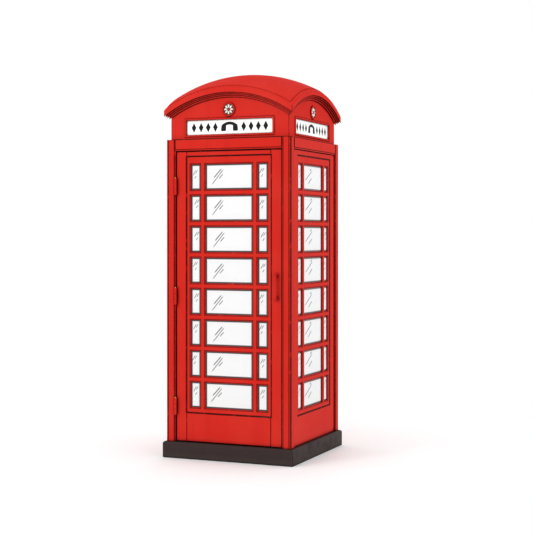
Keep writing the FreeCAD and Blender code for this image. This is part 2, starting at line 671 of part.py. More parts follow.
def sign_frame():
    """Raised border round the sign opening of the -Y side."""
    x, g, y = SIGN_WIDTH / 2, SIGN_FRAME, -FASCIA_HALF
    outer = box(-x - g, x + g, y - SIGN_FRAME_PROUD, y, SIGN_Z0 - g, SIGN_Z1 + g)
    outer = rounded(outer, SIGN_FRAME_PROUD * 0.6, lambda c: c.y < y - SIGN_FRAME_PROUD + 0.01)
    return outer


def roof_casting():
    """Sail dome, cornice bands and the four arched fascias in one hollow casting."""
    lap = 1.0                      # how far each band runs into the one above it
    bands, outer_r = [], RIM_R
    for thick, set_back in CORNICE_BANDS:
        top_r = outer_r if set_back == 0 else outer_r + lap
        bands.append(sail_band(top_r, outer_r - thick, EAVES_HALF - set_back))
        outer_r -= thick
    field = sail_band(RIM_R + DOME_STEP, RIM_R - lap, EAVES_HALF - DOME_RIM_WIDTH)
    fascia = ball(outer_r + lap).common(square_prism(FASCIA_HALF, SHOULDER_Z, RIM_CENTRE.z + RIM_R))
    fascia = fascia.fuse([turned(sign_frame(), n) for n in range(4)])
    inner_half = FASCIA_HALF - FASCIA_WALL
    hollow = ball(RIM_R + DOME_STEP - DOME_SHELL).common(
        square_prism(inner_half, SHOULDER_Z - 1, RIM_CENTRE.z + RIM_R))
    flange = square_prism(inner_half + 1, SHOULDER_Z, SHOULDER_Z + ROOF_FLANGE_THICK).cut(
        square_prism(OPENING_HALF - ROOF_FLANGE_LAP, SHOULDER_Z, SHOULDER_Z + ROOF_FLANGE_THICK))
    shell = fascia.fuse(bands + [field]).cut(hollow)
    x = SIGN_WIDTH / 2
    openings = []
    for n in range(4):
        sign = box(-x, x, -FASCIA_HALF - SIGN_FRAME_PROUD - 1, -inner_half + 1, SIGN_Z0, SIGN_Z1)
        openings.append(turned(sign, n))
        openings += [turned(rod_z(bx, by, SHOULDER_Z, SHOULDER_Z + ROOF_FLANGE_THICK,
                                  BOLT_R + BOLT_HOLE_PLAY), n) for bx, by in lintel_bolt_places()]
    return shell.fuse(flange).cut(openings).removeSplitter()


def sign_glass():
    """Opal pane behind the sign opening of the -Y side."""
    x, lap, y = SIGN_WIDTH / 2, SIGN_GLASS_LAP, -FASCIA_HALF + FASCIA_WALL
    return box(-x - lap, x + lap, y, y + SIGN_GLASS_THICK, SIGN_Z0 - lap, SIGN_Z1 + lap)


def sign_retainer():
    """Frame that holds the sign's pane from behind."""
    x, lap = SIGN_WIDTH / 2, SIGN_GLASS_LAP
    y = -FASCIA_HALF + FASCIA_WALL + SIGN_GLASS_THICK
    outer = box(-x - lap, x + lap, y, y + SIGN_RETAINER_THICK, SIGN_Z0 - lap, SIGN_Z1 + lap)
    return cut(outer, box(-x, x, y, y + SIGN_RETAINER_THICK, SIGN_Z0, SIGN_Z1))


def ornament():
    """Round cast boss of the -Y fascia: a rim, a ring of studs and a domed centre."""
    y = -FASCIA_HALF
    z = SIGN_Z1 + SIGN_FRAME + ORNAMENT_ABOVE_SIGN + ORNAMENT_R * 0.8
    front = y - ORNAMENT_BASE
    disc = rod_y(0, front, y, z, ORNAMENT_R)
    rim = cut(rod_y(0, front - ORNAMENT_RELIEF, front, z, ORNAMENT_R),
              rod_y(0, front - ORNAMENT_RELIEF, front, z, ORNAMENT_R * 0.88))
    studs = []
    for n in range(ORNAMENT_STUDS):
        angle = 2 * math.pi * n / ORNAMENT_STUDS
        x = ORNAMENT_R * 0.62 * math.cos(angle)
        dz = ORNAMENT_R * 0.62 * math.sin(angle)
        studs.append(rod_y(x, front - ORNAMENT_RELIEF * 0.8, front, z + dz, ORNAMENT_R * 0.13))
    boss = Part.makeCone(ORNAMENT_R * 0.32, ORNAMENT_R * 0.2, ORNAMENT_RELIEF, Vector(0, front, z),
                         Vector(0, -1, 0))
    return join(disc, rim, boss, *studs)


def roof_bolt(x, y):
    """Hexagon bolt down through the roof's flange and the lintel, with its nut below."""
    z1 = SHOULDER_Z + ROOF_FLANGE_THICK
    z0 = SHOULDER_Z - LINTEL_WALL
    corners = [(x + BOLT_HEAD_R * math.cos(math.radians(a)), y + BOLT_HEAD_R * math.sin(math.radians(a)))
               for a in range(0, 360, 60)]
    head = prism_z(corners, z1, z1 + BOLT_HEAD_THICK)
    nut = prism_z(corners, z0 - BOLT_HEAD_THICK, z0)
    return join(head, nut, rod_z(x, y, z0 - BOLT_HEAD_THICK, z1 + BOLT_HEAD_THICK, BOLT_R))


# ---------------------------------------------------------------- ceiling and lamp
def ceiling_plate():
    """Sheet ceiling under the roof's flange, notched round the posts, with the lamp's round hole."""
    half = OPENING_HALF - CEILING_GAP
    notch = HALF - LIP_DEPTH - CEILING_GAP
    z = SHOULDER_Z - CEILING_THICK
    corners = [turned(box(notch, half, notch, half, z, SHOULDER_Z), n) for n in range(4)]
    return cut(square_prism(half, z, SHOULDER_Z), rod_z(0, 0, z, SHOULDER_Z, LAMP_HOLE_R), *corners)


def lamp_pieces():
    """Opal bowl dropped into the ceiling's hole, strap across it, lamp holder cap and bulb."""
    bowl_r = LAMP_HOLE_R - 1
    cap_r = (bowl_r ** 2 + LAMP_BOWL_DROP ** 2) / (2 * LAMP_BOWL_DROP)
    centre = Vector(0, 0, SHOULDER_Z - LAMP_BOWL_DROP + cap_r)
    below = square_prism(bowl_r + 5, SHOULDER_Z - LAMP_BOWL_DROP - 1, SHOULDER_Z)
    bowl = Part.makeSphere(cap_r, centre).common(below).cut(Part.makeSphere(cap_r - LAMP_BOWL_WALL, centre))
    rim = rod_z(0, 0, SHOULDER_Z, SHOULDER_Z + LAMP_BOWL_WALL, bowl_r + LAMP_RIM)
    rim = cut(rim, rod_z(0, 0, SHOULDER_Z, SHOULDER_Z + LAMP_BOWL_WALL, bowl_r - LAMP_BOWL_WALL * 3))
    foot, reach = LAMP_STRAP_WIDTH / 2, bowl_r + LAMP_RIM + LAMP_STRAP_WIDTH
    t, top = LAMP_STRAP_THICK, SHOULDER_Z + LAMP_STRAP_RISE
    leg = bowl_r + LAMP_RIM + LAMP_STRAP_PLAY + t
    strap = join(box(-leg, leg, -foot, foot, top - t, top),
                 box(-leg, -leg + t, -foot, foot, SHOULDER_Z, top),
                 box(leg - t, leg, -foot, foot, SHOULDER_Z, top),
                 box(-reach, -leg + t, -foot, foot, SHOULDER_Z, SHOULDER_Z + t),
                 box(leg - t, reach, -foot, foot, SHOULDER_Z, SHOULDER_Z + t))
    cap = rod_z(0, 0, top - t - LAMP_CAP_LENGTH, top - t, LAMP_CAP_R)
    bulb_z = top - t - LAMP_CAP_LENGTH
    neck = Part.makeCone(BULB_R * 0.8, LAMP_CAP_R * 0.8, BULB_R * 0.6, Vector(0, 0, bulb_z - BULB_R * 0.6))
    bulb = join(neck, Part.makeSphere(BULB_R, Vector(0, 0, bulb_z - BULB_R * 1.2)))
    return {"lamp_bowl": join(bowl, rim), "lamp_holder": join(strap, cap), "lamp_bulb": bulb}


# ---------------------------------------------------------------- board, shelf and notice frame
def backboard():
    return box(-BOARD_HALF, BOARD_HALF, BOARD_Y, BOARD_BACK_Y, BOARD_BOTTOM, BOARD_TOP)


def shelf():
    half = SHELF_WIDTH / 2
    plank = box(-half, half, BOARD_Y - SHELF_DEPTH, BOARD_Y, SHELF_HEIGHT - SHELF_THICK, SHELF_HEIGHT)
    front = BOARD_Y - SHELF_DEPTH
    return rounded(plank, SHELF_THICK * 0.45, lambda c: c.y < front + 0.01 and abs(c.x) < 1)


def shelf_bracket(x):
    """Flat gusset under the shelf, screwed to the board."""
    top = SHELF_HEIGHT - SHELF_THICK
    reach = SHELF_DEPTH * 0.8
    return prism_x([(BOARD_Y, top), (BOARD_Y, top - BRACKET_DROP),
                    (BOARD_Y - BRACKET_THICK * 3, top - BRACKET_DROP),
                    (BOARD_Y - reach, top - BRACKET_THICK * 3), (BOARD_Y - reach, top)],
                   x - BRACKET_THICK / 2, x + BRACKET_THICK / 2)


def notice_frame():
    """Framed notice panel above the telephone."""
    half = NOTICE_WIDTH / 2
    z0, z1 = NOTICE_BOTTOM, NOTICE_BOTTOM + NOTICE_HEIGHT
    front = BOARD_Y - NOTICE_THICK
    frame = box(-half, half, front, BOARD_Y, z0, z1)
    x = half - NOTICE_RIM
    return cut(frame, tapered((-x, x), z0 + NOTICE_RIM, z1 - NOTICE_RIM, front,
                              BOARD_Y - NOTICE_PANEL_THICK, NOTICE_RIM / 4))


# ---------------------------------------------------------------- coin telephone
def phone_case():
    """Steel case, open at the back, with its front openings and the cash door's lugs."""
    x, z0, z1 = PHONE_WIDTH / 2, PHONE_BOTTOM, PHONE_TOP
    y0, y1, w = PHONE_FRONT_Y, BOARD_Y, PHONE_WALL
    outer = rounded(box(-x, x, y0, y1, z0, z1), PHONE_CORNER_R,
                    lambda c: c.y < y0 + 0.01 or (abs(c.x) > x - 0.01 and c.z > z0 + 1 and c.z < z1 - 1
                                                  and c.y < y0 + 1))
    inner = rounded(box(-x + w, x - w, y0 + w, y1, z0 + w, z1 - w), PHONE_CORNER_R - w,
                    lambda c: c.y < y0 + w + 0.01)
    slot_z = PHONE_TOP - COIN_PLATE_BELOW_TOP
    holes = [
        rod_y(0, y0, y0 + w, PHONE_BOTTOM + DIAL_ABOVE_BOTTOM, SPINDLE_COLLAR_R + 1),
        box(COIN_SIDE_X - COIN_SLOT_WIDTH, COIN_SIDE_X + COIN_SLOT_WIDTH, y0, y0 + w,
            slot_z - COIN_SLOT_HEIGHT / 2 - 2, slot_z + COIN_SLOT_HEIGHT / 2 + 2),
        rod_y(COIN_SIDE_X, y0, y0 + w, PHONE_TOP - BUTTON_BELOW_TOP, BUTTON_R + SHAFT_PLAY),
        box(COIN_SIDE_X - CUP_WIDTH / 2, COIN_SIDE_X + CUP_WIDTH / 2, y0, y0 + w,
            CUP_Z - CUP_HEIGHT / 2, CUP_Z + CUP_HEIGHT / 2),
        box(*DOORWAY_X, y0, y0 + w, *DOORWAY_Z),
    ]
    holes += [rod_z(s * CRADLE_SPACING / 2, HANDSET_Y, z1 - w, z1, PLUNGER_R + SHAFT_PLAY) for s in (-1, 1)]
    floor = z0 + w
    runners = [box(rx, rx + RUNNER_WIDTH, y0 + w / 2, y1 - CANISTER_BACK_GAP, floor - w / 2,
                   DOORWAY_Z[0] + CANISTER_LIFT)
               for rx in (DOORWAY_X[0] + RUNNER_FROM_EDGE, DOORWAY_X[1] - RUNNER_FROM_EDGE - RUNNER_WIDTH)]
    gland = rod_z(GLAND_X, (y0 + y1) / 2, z0 - GLAND_LENGTH, z0 + w / 2, GLAND_R)
    bore = rod_z(GLAND_X, (y0 + y1) / 2, z0 - GLAND_LENGTH, floor, GLAND_BORE_R)
    return cut(join(cut(outer, inner), gland, *runners, *cash_lugs()), bore, *holes)


def cash_lugs():
    """Two lugs on the case's front that carry the cash door's pins."""
    half, r = CASH_DOOR_HEIGHT / 2, CASH_BARREL_R
    lugs = []
    for z0 in (CASH_Z - half, CASH_Z + half - CASH_LUG):
        block = box(CASH_X0 - r, CASH_X0 + r, CASH_AXIS_Y, PHONE_FRONT_Y + 1, z0, z0 + CASH_LUG)
        eye = rod_z(CASH_X0, CASH_AXIS_Y, z0, z0 + CASH_LUG, r)
        lugs.append(cut(join(block, eye), rod_z(CASH_X0, CASH_AXIS_Y, z0, z0 + CASH_LUG,
                                                CASH_PIN_R + SHAFT_PLAY)))
    return lugs


def cash_door():
    """Overlay door of the cash compartment, with its barrel, pins and lock."""
    half, r, play = CASH_DOOR_HEIGHT / 2, CASH_BARREL_R, 0.5
    y0 = CASH_AXIS_Y - CASH_DOOR_THICK + r
    x1 = CASH_X0 + CASH_DOOR_WIDTH
    z0, z1 = CASH_Z - half, CASH_Z + half
    plate = box(CASH_X0, x1, y0, y0 + CASH_DOOR_THICK, z0, z1)
    gaps = [box(CASH_X0 - 1, CASH_X0 + r + 1, y0 - 5, y0 + CASH_DOOR_THICK, a, b)
            for a, b in ((z0, z0 + CASH_LUG + play), (z1 - CASH_LUG - play, z1))]
    barrel = rod_z(CASH_X0, CASH_AXIS_Y, z0 + CASH_LUG + play, z1 - CASH_LUG - play, r)
    pin = rod_z(CASH_X0, CASH_AXIS_Y, z0 + 1, z1 - 1, CASH_PIN_R)
    lock_x = cash_lock_x()
    lock_case = rod_y(lock_x, y0 - CASH_LOCK_PROUD, y0 + CASH_DOOR_THICK + CASH_LOCK_BEHIND, CASH_Z,
                      CASH_LOCK_R)
    lock_bore = rod_y(lock_x, y0 - CASH_LOCK_PROUD, y0 + CASH_DOOR_THICK + CASH_LOCK_BEHIND, CASH_Z,
                      CASH_PLUG_R + SHAFT_PLAY)
    return cut(join(cut(plate, *gaps), barrel, pin, lock_case), lock_bore)


def cash_lock_x():
    return DOORWAY_X[1] - CASH_LOCK_R * 2


def cash_lock():
    """Lock plug with a key slot, and the cam that it turns behind the case's front."""
    x, y0 = cash_lock_x(), CASH_AXIS_Y - CASH_LOCK_PROUD
    back = CASH_AXIS_Y + CASH_DOOR_THICK + CASH_LOCK_BEHIND
    plug = rod_y(x, y0, back + CASH_CAM_THICK, CASH_Z, CASH_PLUG_R)
    face = rod_y(x, y0 - 1, y0, CASH_Z, CASH_PLUG_R + 1.5)
    cam_y = back + 0.3
    cam = box(x - CASH_PLUG_R, x + CASH_PLUG_R, cam_y, cam_y + CASH_CAM_THICK, CASH_Z - CASH_PLUG_R,
              CASH_Z + CASH_CAM_REACH)
    slot = box(x - 1, x + 1, y0 - 1, y0 + 5, CASH_Z - 4, CASH_Z + 4)
    return cut(join(plug, face, cam), slot)


def cash_canister():
    """Sealed coin canister on its runners, small enough to slide out of its doorway."""
    z0 = DOORWAY_Z[0] + CANISTER_LIFT
    y0 = PHONE_FRONT_Y + PHONE_WALL + CANISTER_FRONT_GAP
    block = box(DOORWAY_X[0] + CANISTER_PLAY, DOORWAY_X[1] - CANISTER_PLAY, y0,
                BOARD_Y - CANISTER_BACK_GAP, z0, DOORWAY_Z[1] - CANISTER_PLAY)
    return rounded(block, 6, lambda c: c.z > CASH_Z + 1)


def coin_return_cup():
    """Pocket behind the case's front with a bezel, and eyes for the flap's pins."""
    x0, x1 = COIN_SIDE_X - CUP_WIDTH / 2, COIN_SIDE_X + CUP_WIDTH / 2
    z0, z1 = CUP_Z - CUP_HEIGHT / 2, CUP_Z + CUP_HEIGHT / 2
    y0, w, b = PHONE_FRONT_Y, CUP_WALL, CUP_BEZEL
    body = box(x0, x1, y0 - w, y0 + CUP_DEPTH, z0, z1)
    bezel = box(x0 - b, x1 + b, y0 - w, y0, z0 - b, z1 + b)
    inside = box(x0 + w, x1 - w, y0 - w, y0 + CUP_DEPTH - w, z0 + w, z1 - w)
    y, z = flap_axis()
    return cut(join(body, bezel), inside, rod_x(x0, x1, y, z, FLAP_PIN_R + SHAFT_PLAY))


def flap_axis():
    """(y, z) of the coin flap's hinge."""
    return (PHONE_FRONT_Y + FLAP_BARREL_R + 3, CUP_Z + CUP_HEIGHT / 2 - CUP_WALL - FLAP_BARREL_R - FLAP_PLAY)


def coin_return_flap():
    """Flap that hangs in the cup's mouth and swings inwards."""
    y, z = flap_axis()
    x0 = COIN_SIDE_X - CUP_WIDTH / 2 + CUP_WALL + FLAP_PLAY
    x1 = 2 * COIN_SIDE_X - x0
    low = CUP_Z - CUP_HEIGHT / 2 + CUP_WALL + FLAP_PLAY
    plate = box(x0, x1, y - FLAP_THICK / 2, y + FLAP_THICK / 2, low, z)
    reach = FLAP_PLAY + CUP_WALL - 0.2
    return join(plate, rod_x(x0, x1, y, z, FLAP_BARREL_R), rod_x(x0 - reach, x1 + reach, y, z, FLAP_PIN_R))


def coin_return_button():
    """Push button with a collar behind the case's front."""
    x, z = COIN_SIDE_X, PHONE_TOP - BUTTON_BELOW_TOP
    y0, wall = PHONE_FRONT_Y, PHONE_WALL
    shank = rod_y(x, y0 - BUTTON_PROUD, y0 + wall + BUTTON_BEHIND, z, BUTTON_R)
    shank = rounded(shank, 2.5, lambda c: c.y < y0 - BUTTON_PROUD + 0.01)
    return join(shank, rod_y(x, y0 + wall + 0.3, y0 + wall + 0.3 + BUTTON_COLLAR_THICK, z, BUTTON_COLLAR_R))


def coin_slot_plate():
    """Plate with the coin slot, high on the case's front."""
    x, z, y = COIN_SIDE_X, PHONE_TOP - COIN_PLATE_BELOW_TOP, PHONE_FRONT_Y
    w, h = COIN_PLATE_WIDTH / 2, COIN_PLATE_HEIGHT / 2
    plate = box(x - w, x + w, y - COIN_PLATE_THICK, y, z - h, z + h)
    plate = rounded(plate, 8, lambda c: abs(abs(c.x - x) - w) < 0.01 and abs(abs(c.z - z) - h) < 0.01)
    slot = box(x - COIN_SLOT_WIDTH / 2, x + COIN_SLOT_WIDTH / 2, y - COIN_PLATE_THICK, y,
               z - COIN_SLOT_HEIGHT / 2, z + COIN_SLOT_HEIGHT / 2)
    return cut(plate, slot)


def coin_mechanism():
    """Rectangular coin channel inside the case, from the slot down to the canister's level."""
    x, y0 = COIN_SIDE_X, PHONE_FRONT_Y + PHONE_WALL + BUTTON_BEHIND + 8
    z0 = CUP_Z + CUP_HEIGHT / 2
    z1 = PHONE_TOP - PHONE_WALL
    half, w = MECHANISM_WIDTH / 2, MECHANISM_WALL
    tube = box(x - half, x + half, y0, y0 + MECHANISM_DEPTH, z0, z1)
    mouth_z = PHONE_TOP - COIN_PLATE_BELOW_TOP
    mouth = box(x - half + w, x + half - w, y0, y0 + w, mouth_z - COIN_SLOT_HEIGHT / 2,
                mouth_z + COIN_SLOT_HEIGHT / 2)
    return cut(tube, box(x - half + w, x + half - w, y0 + w, y0 + MECHANISM_DEPTH - w, z0, z1), mouth)


def dial_plate():
    """Round number plate under the finger wheel, with the spindle's bearing."""
    z, y = PHONE_BOTTOM + DIAL_ABOVE_BOTTOM, PHONE_FRONT_Y
    plate = rod_y(0, y - DIAL_PLATE_THICK, y, z, DIAL_PLATE_R)
    plate = rounded(plate, 2, lambda c: c.y < y - DIAL_PLATE_THICK + 0.01)
    return cut(plate, rod_y(0, y - DIAL_PLATE_THICK, y, z, SPINDLE_R + SHAFT_PLAY))


def finger_wheel():
    """Finger wheel with its hub, spindle and the collar that keeps it in."""
    z, y = PHONE_BOTTOM + DIAL_ABOVE_BOTTOM, PHONE_FRONT_Y
    y1 = y - DIAL_PLATE_THICK - FINGER_WHEEL_GAP
    y0 = y1 - FINGER_WHEEL_THICK
    disc = rod_y(0, y0, y1, z, FINGER_WHEEL_R)
    holes = []
    for n in range(FINGER_HOLES):
        a = math.radians(FIRST_HOLE_DEG + n * HOLE_STEP_DEG)
        holes.append(rod_y(FINGER_HOLE_CIRCLE * math.cos(a), y0, y1,
                           z + FINGER_HOLE_CIRCLE * math.sin(a), FINGER_HOLE_R))
    hub = Part.makeCone(SPINDLE_R * 4.5, SPINDLE_R * 3.6, FINGER_WHEEL_THICK, Vector(0, y0, z),
                        Vector(0, -1, 0))
    spindle = rod_y(0, y1, y + SPINDLE_COLLAR_THICK, z, SPINDLE_R)
    collar = rod_y(0, y + 0.3, y + 0.3 + SPINDLE_COLLAR_THICK, z, SPINDLE_COLLAR_R)
    return join(cut(disc, *holes), hub, spindle, collar)


def finger_stop():
    """Small bent stop that reaches from the number plate's edge over the finger wheel."""
    z, y = PHONE_BOTTOM + DIAL_ABOVE_BOTTOM, PHONE_FRONT_Y
    front = y - DIAL_PLATE_THICK - FINGER_WHEEL_GAP - FINGER_WHEEL_THICK
    root = (FINGER_WHEEL_R + DIAL_PLATE_R) / 2
    arm = box(FINGER_HOLE_CIRCLE, root + 3, front - 3, front - 1, z - 2, z + 2)
    leg = box(root - 3, root + 3, front - 1, y - DIAL_PLATE_THICK, z - 2, z + 2)
    stop = join(arm, leg)
    stop.rotate(Vector(0, 0, z), Vector(0, 1, 0), -FINGER_STOP_DEG)
    return stop


def handle_drop(x):
    """How far the bent handle's middle lies below its top at x."""
    return HANDLE_BEND_R - math.sqrt(HANDLE_BEND_R ** 2 - x ** 2)


def handset():
    """Bent handle with a receiver and a transmitter head that face down."""
    turn = math.degrees(math.asin(HEAD_SPACING / 2 / HANDLE_BEND_R))
    centre = Vector(0, HANDSET_Y, HANDLE_Z - HANDLE_BEND_R)
    start = Part.Face(Part.Wire(Part.makeCircle(HANDLE_R, Vector(0, HANDSET_Y, HANDLE_Z), Vector(1, 0, 0))))
    start.rotate(centre, Vector(0, 1, 0), -turn)
    handle = start.revolve(centre, Vector(0, 1, 0), 2 * turn)
    z0 = PHONE_TOP + HEAD_CLEARANCE
    z1 = z0 + HEAD_HEIGHT
    heads = []
    for s in (-1, 1):
        x = s * HEAD_SPACING / 2
        cap = Part.makeCylinder(HEAD_R, HEAD_HEIGHT * 0.55, Vector(x, HANDSET_Y, z0))
        crown = Part.makeCone(HEAD_R, HANDLE_R * 1.15, HEAD_HEIGHT * 0.7,
                              Vector(x, HANDSET_Y, z0 + HEAD_HEIGHT * 0.55))
        cap = rounded(cap, 3, lambda c: c.z < z0 + 0.01)
        heads += [cap, crown]
    return join(handle, *heads)


def handset_cradle():
    """Two forked rests on a base on top of the case, bored for the plungers."""
    y, z0 = HANDSET_Y, PHONE_TOP
    half = CRADLE_DEPTH / 2
    x_arm = CRADLE_SPACING / 2
    base = box(-x_arm, x_arm, y - half, y + half, z0, z0 + CRADLE_BASE)
    mid_z = HANDLE_Z - handle_drop(x_arm)
    notch_r = HANDLE_R + CRADLE_PLAY
    arms, tools = [], []
    for s in (-1, 1):
        x = s * x_arm
        t = CRADLE_THICK / 2
        arms.append(box(x - t, x + t, y - half, y + half, z0, mid_z + HANDLE_R * 0.5))
        slope = Vector(math.sqrt(HANDLE_BEND_R ** 2 - x ** 2), 0, -x)
        start = Vector(x, y, mid_z) - slope / HANDLE_BEND_R * 2 * t
        tools.append(Part.makeCylinder(notch_r, 4 * t, start, slope))
        tools.append(box(x - t, x + t, y - notch_r, y + notch_r, mid_z, mid_z + HANDLE_R))
        tools.append(rod_z(x, y, z0, mid_z, PLUNGER_R + SHAFT_PLAY))
    return cut(join(base, *arms), *tools)


def cradle_plungers():
    """The two hook-switch plungers that the handset holds down."""
    x = CRADLE_SPACING / 2
    slope = x / math.sqrt(HANDLE_BEND_R ** 2 - x ** 2)
    under = HANDLE_Z - handle_drop(x) - HANDLE_R * math.sqrt(1 + slope ** 2)
    top = under - PLUNGER_R * slope - PLUNGER_GAP
    foot = PHONE_TOP - PHONE_WALL - 10
    return group(join(rod_z(s * x, HANDSET_Y, foot, top, PLUNGER_R),
                      rod_z(s * x, HANDSET_Y, foot - PLUNGER_FOOT, foot, PLUNGER_R * 1.8))
                 for s in (-1, 1))


# ---------------------------------------------------------------- assembly
def all_pieces():
    """Every node's name and shape."""
    pieces = {"floor_slab": floor_slab(), "sill_front": front_sill()}
    plain_sill = sill()
    pieces["sill_right"] = turned(plain_sill, 1)
    pieces["sill_back"] = cut(turned(plain_sill, 2), *anchor_holes(0, SILL_FLANGE_THICK))
    pieces["sill_left"] = turned(plain_sill, 3)
    corner, beam = post(), lintel()
    for n, name in enumerate(("front_left", "front_right", "back_right", "back_left")):
        pieces["post_" + name] = turned(corner, n)
    for n, name in enumerate(("front", "right", "back", "left")):
        pieces["lintel_" + name] = turned(beam, n)
    frame, grid, panes, beads = window_frame(), glazing_grid(), glass_panes(), glazing_beads()
    for n, name in ((1, "right"), (3, "left")):
        pieces["window_frame_" + name] = turned(frame, n)
        pieces["window_grid_" + name] = turned(grid, n)
    pieces["window_glass"] = group(s for n in (1, 3) for s in turned(panes, n).Solids)
    pieces["window_beads"] = group(s for n in (1, 3) for s in turned(beads, n).Solids)
    pieces["back_panel"] = turned(back_panel(), 2)
    pieces["roof_casting"] = roof_casting()
    pieces["sign_glasses"] = group(turned(sign_glass(), n) for n in range(4))
    pieces["sign_retainers"] = group(turned(sign_retainer(), n) for n in range(4))
    pieces["roof_ornaments"] = group(turned(ornament(), n) for n in range(4))
    pieces["roof_bolts"] = group(turned(roof_bolt(x, y), n) for n in range(4)
                                 for x, y in lintel_bolt_places())
    pieces["ceiling_plate"] = ceiling_plate()
    pieces.update(lamp_pieces())
    pieces.update(hinges())
    pieces.update(door_pieces())
    pieces["backboard"] = backboard()
    pieces["shelf"] = shelf()
    bracket_x = SHELF_WIDTH * 0.36
    pieces["shelf_brackets"] = group([shelf_bracket(-bracket_x), shelf_bracket(bracket_x)])
    pieces["notice_frame"] = notice_frame()
    pieces["phone_case"] = phone_case()
    pieces["cash_door"] = cash_door()
    pieces["cash_lock"] = cash_lock()
    pieces["cash_canister"] = cash_canister()
    pieces["coin_return_cup"] = coin_return_cup()
    pieces["coin_return_flap"] = coin_return_flap()
    pieces["coin_return_button"] = coin_return_button()
    pieces["coin_slot_plate"] = coin_slot_plate()
    pieces["coin_mechanism"] = coin_mechanism()
    pieces["dial_plate"] = dial_plate()
    pieces["dial_finger_wheel"] = finger_wheel()
    pieces["dial_finger_stop"] = finger_stop()
    pieces["handset"] = handset()
    pieces["handset_cradle"] = handset_cradle()
    pieces["cradle_plungers"] = cradle_plungers()
    return pieces


def main():
    os.makedirs("parts", exist_ok=True)
    pieces = all_pieces()
    for name, shape in pieces.items():
        solids = shape.Solids
        bad = [s for s in solids if not s.isValid() or s.Volume <= 0]
        if bad or not solids:
            raise RuntimeError(f"{name} has no sound solid")
        shape = solids[0] if len(solids) == 1 else Part.makeCompound(solids)
        shape.exportStep(f"parts/{name}.step")
    print(len(pieces), "nodes")


main()
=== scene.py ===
# %% [markdown]
# # A cast-iron telephone kiosk in red enamel
#
# The packed CAD model comes first, because it fixes where everything is: Blender only dresses it.
# Each CAD node arrives as an object that already rides on its body, so a piece that swings with the
# door or lifts with the handset does so without any more work. The notebook asks the frame where
# things are and keeps no second list of the kiosk's sizes.

# %% Load the frame
import json
import math

import bmesh
import bpy
from mathutils import Matrix, Vector

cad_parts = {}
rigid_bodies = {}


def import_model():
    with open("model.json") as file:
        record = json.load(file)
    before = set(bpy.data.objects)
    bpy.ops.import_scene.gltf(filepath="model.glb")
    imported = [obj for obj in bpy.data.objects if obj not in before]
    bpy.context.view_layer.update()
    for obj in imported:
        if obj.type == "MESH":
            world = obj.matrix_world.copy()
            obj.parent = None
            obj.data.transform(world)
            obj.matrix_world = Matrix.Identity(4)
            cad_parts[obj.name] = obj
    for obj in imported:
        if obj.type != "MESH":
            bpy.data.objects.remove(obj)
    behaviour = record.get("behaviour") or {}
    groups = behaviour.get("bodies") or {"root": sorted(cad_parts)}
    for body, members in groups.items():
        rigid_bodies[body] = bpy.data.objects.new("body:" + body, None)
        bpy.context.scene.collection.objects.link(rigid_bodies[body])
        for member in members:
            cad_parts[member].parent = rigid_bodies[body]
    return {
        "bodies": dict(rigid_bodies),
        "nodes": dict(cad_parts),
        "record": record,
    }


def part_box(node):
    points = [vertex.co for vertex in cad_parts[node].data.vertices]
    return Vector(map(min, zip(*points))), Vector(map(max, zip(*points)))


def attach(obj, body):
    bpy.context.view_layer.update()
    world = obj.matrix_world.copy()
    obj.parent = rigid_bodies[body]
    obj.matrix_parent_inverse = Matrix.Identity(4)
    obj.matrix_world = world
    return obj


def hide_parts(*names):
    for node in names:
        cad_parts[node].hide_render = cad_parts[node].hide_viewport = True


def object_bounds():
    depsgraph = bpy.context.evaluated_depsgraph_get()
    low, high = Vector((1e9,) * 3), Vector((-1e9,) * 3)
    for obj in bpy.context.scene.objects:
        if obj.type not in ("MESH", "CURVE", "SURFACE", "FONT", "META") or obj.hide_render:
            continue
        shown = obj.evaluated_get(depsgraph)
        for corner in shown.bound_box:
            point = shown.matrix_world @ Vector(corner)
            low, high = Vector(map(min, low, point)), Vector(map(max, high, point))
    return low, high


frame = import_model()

MM = 0.001
nodes = frame["nodes"]
cad_low, cad_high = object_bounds()
body_of_node = {name: body.name[len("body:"):]
                for body in frame["bodies"].values()
                for name in nodes if nodes[name].parent is body}
slot_of_node = {part["node"]: part["material_slot"] for part in frame["record"]["subparts"]}

# %% [markdown]
# ## The camera
#
# The kiosk is seen from a little to its right, at about eye level, so the front is wide and the
# right side is narrow. A long lens from nearly nine metres keeps the uprights parallel. Looking
# level and shifting the lens frames the plinth, where tilting the camera would make them lean.
# The eye's bearing is measured at the kiosk, and the look's is where the lens points.

# %% Camera
EYE_DISTANCE = 8.641
EYE_HEIGHT = 1.463
EYE_BEARING = math.radians(23.52)
LOOK_BEARING = math.radians(23.0)
LENS = 87.0
LENS_SHIFT = -0.0633
LEVEL = math.pi / 2

camera = bpy.data.objects.new("camera", bpy.data.cameras.new("camera"))
camera.location = (EYE_DISTANCE * math.sin(EYE_BEARING),
                   -EYE_DISTANCE * math.cos(EYE_BEARING), EYE_HEIGHT)
camera.rotation_euler = (LEVEL, 0, LOOK_BEARING)
camera.data.lens = LENS
camera.data.shift_y = LENS_SHIFT
bpy.context.scene.collection.objects.link(camera)
bpy.context.scene.camera = camera
print("camera", round(EYE_DISTANCE, 2), "m away,", EYE_HEIGHT, "m up")

# %% [markdown]
# ## Shader maths as plain arithmetic
#
# A finish is a small network of nodes, and wiring it by hand hides the idea. `Wire` holds one
# socket and answers to +, - and *, so `1 - mask` adds the Math node by itself.

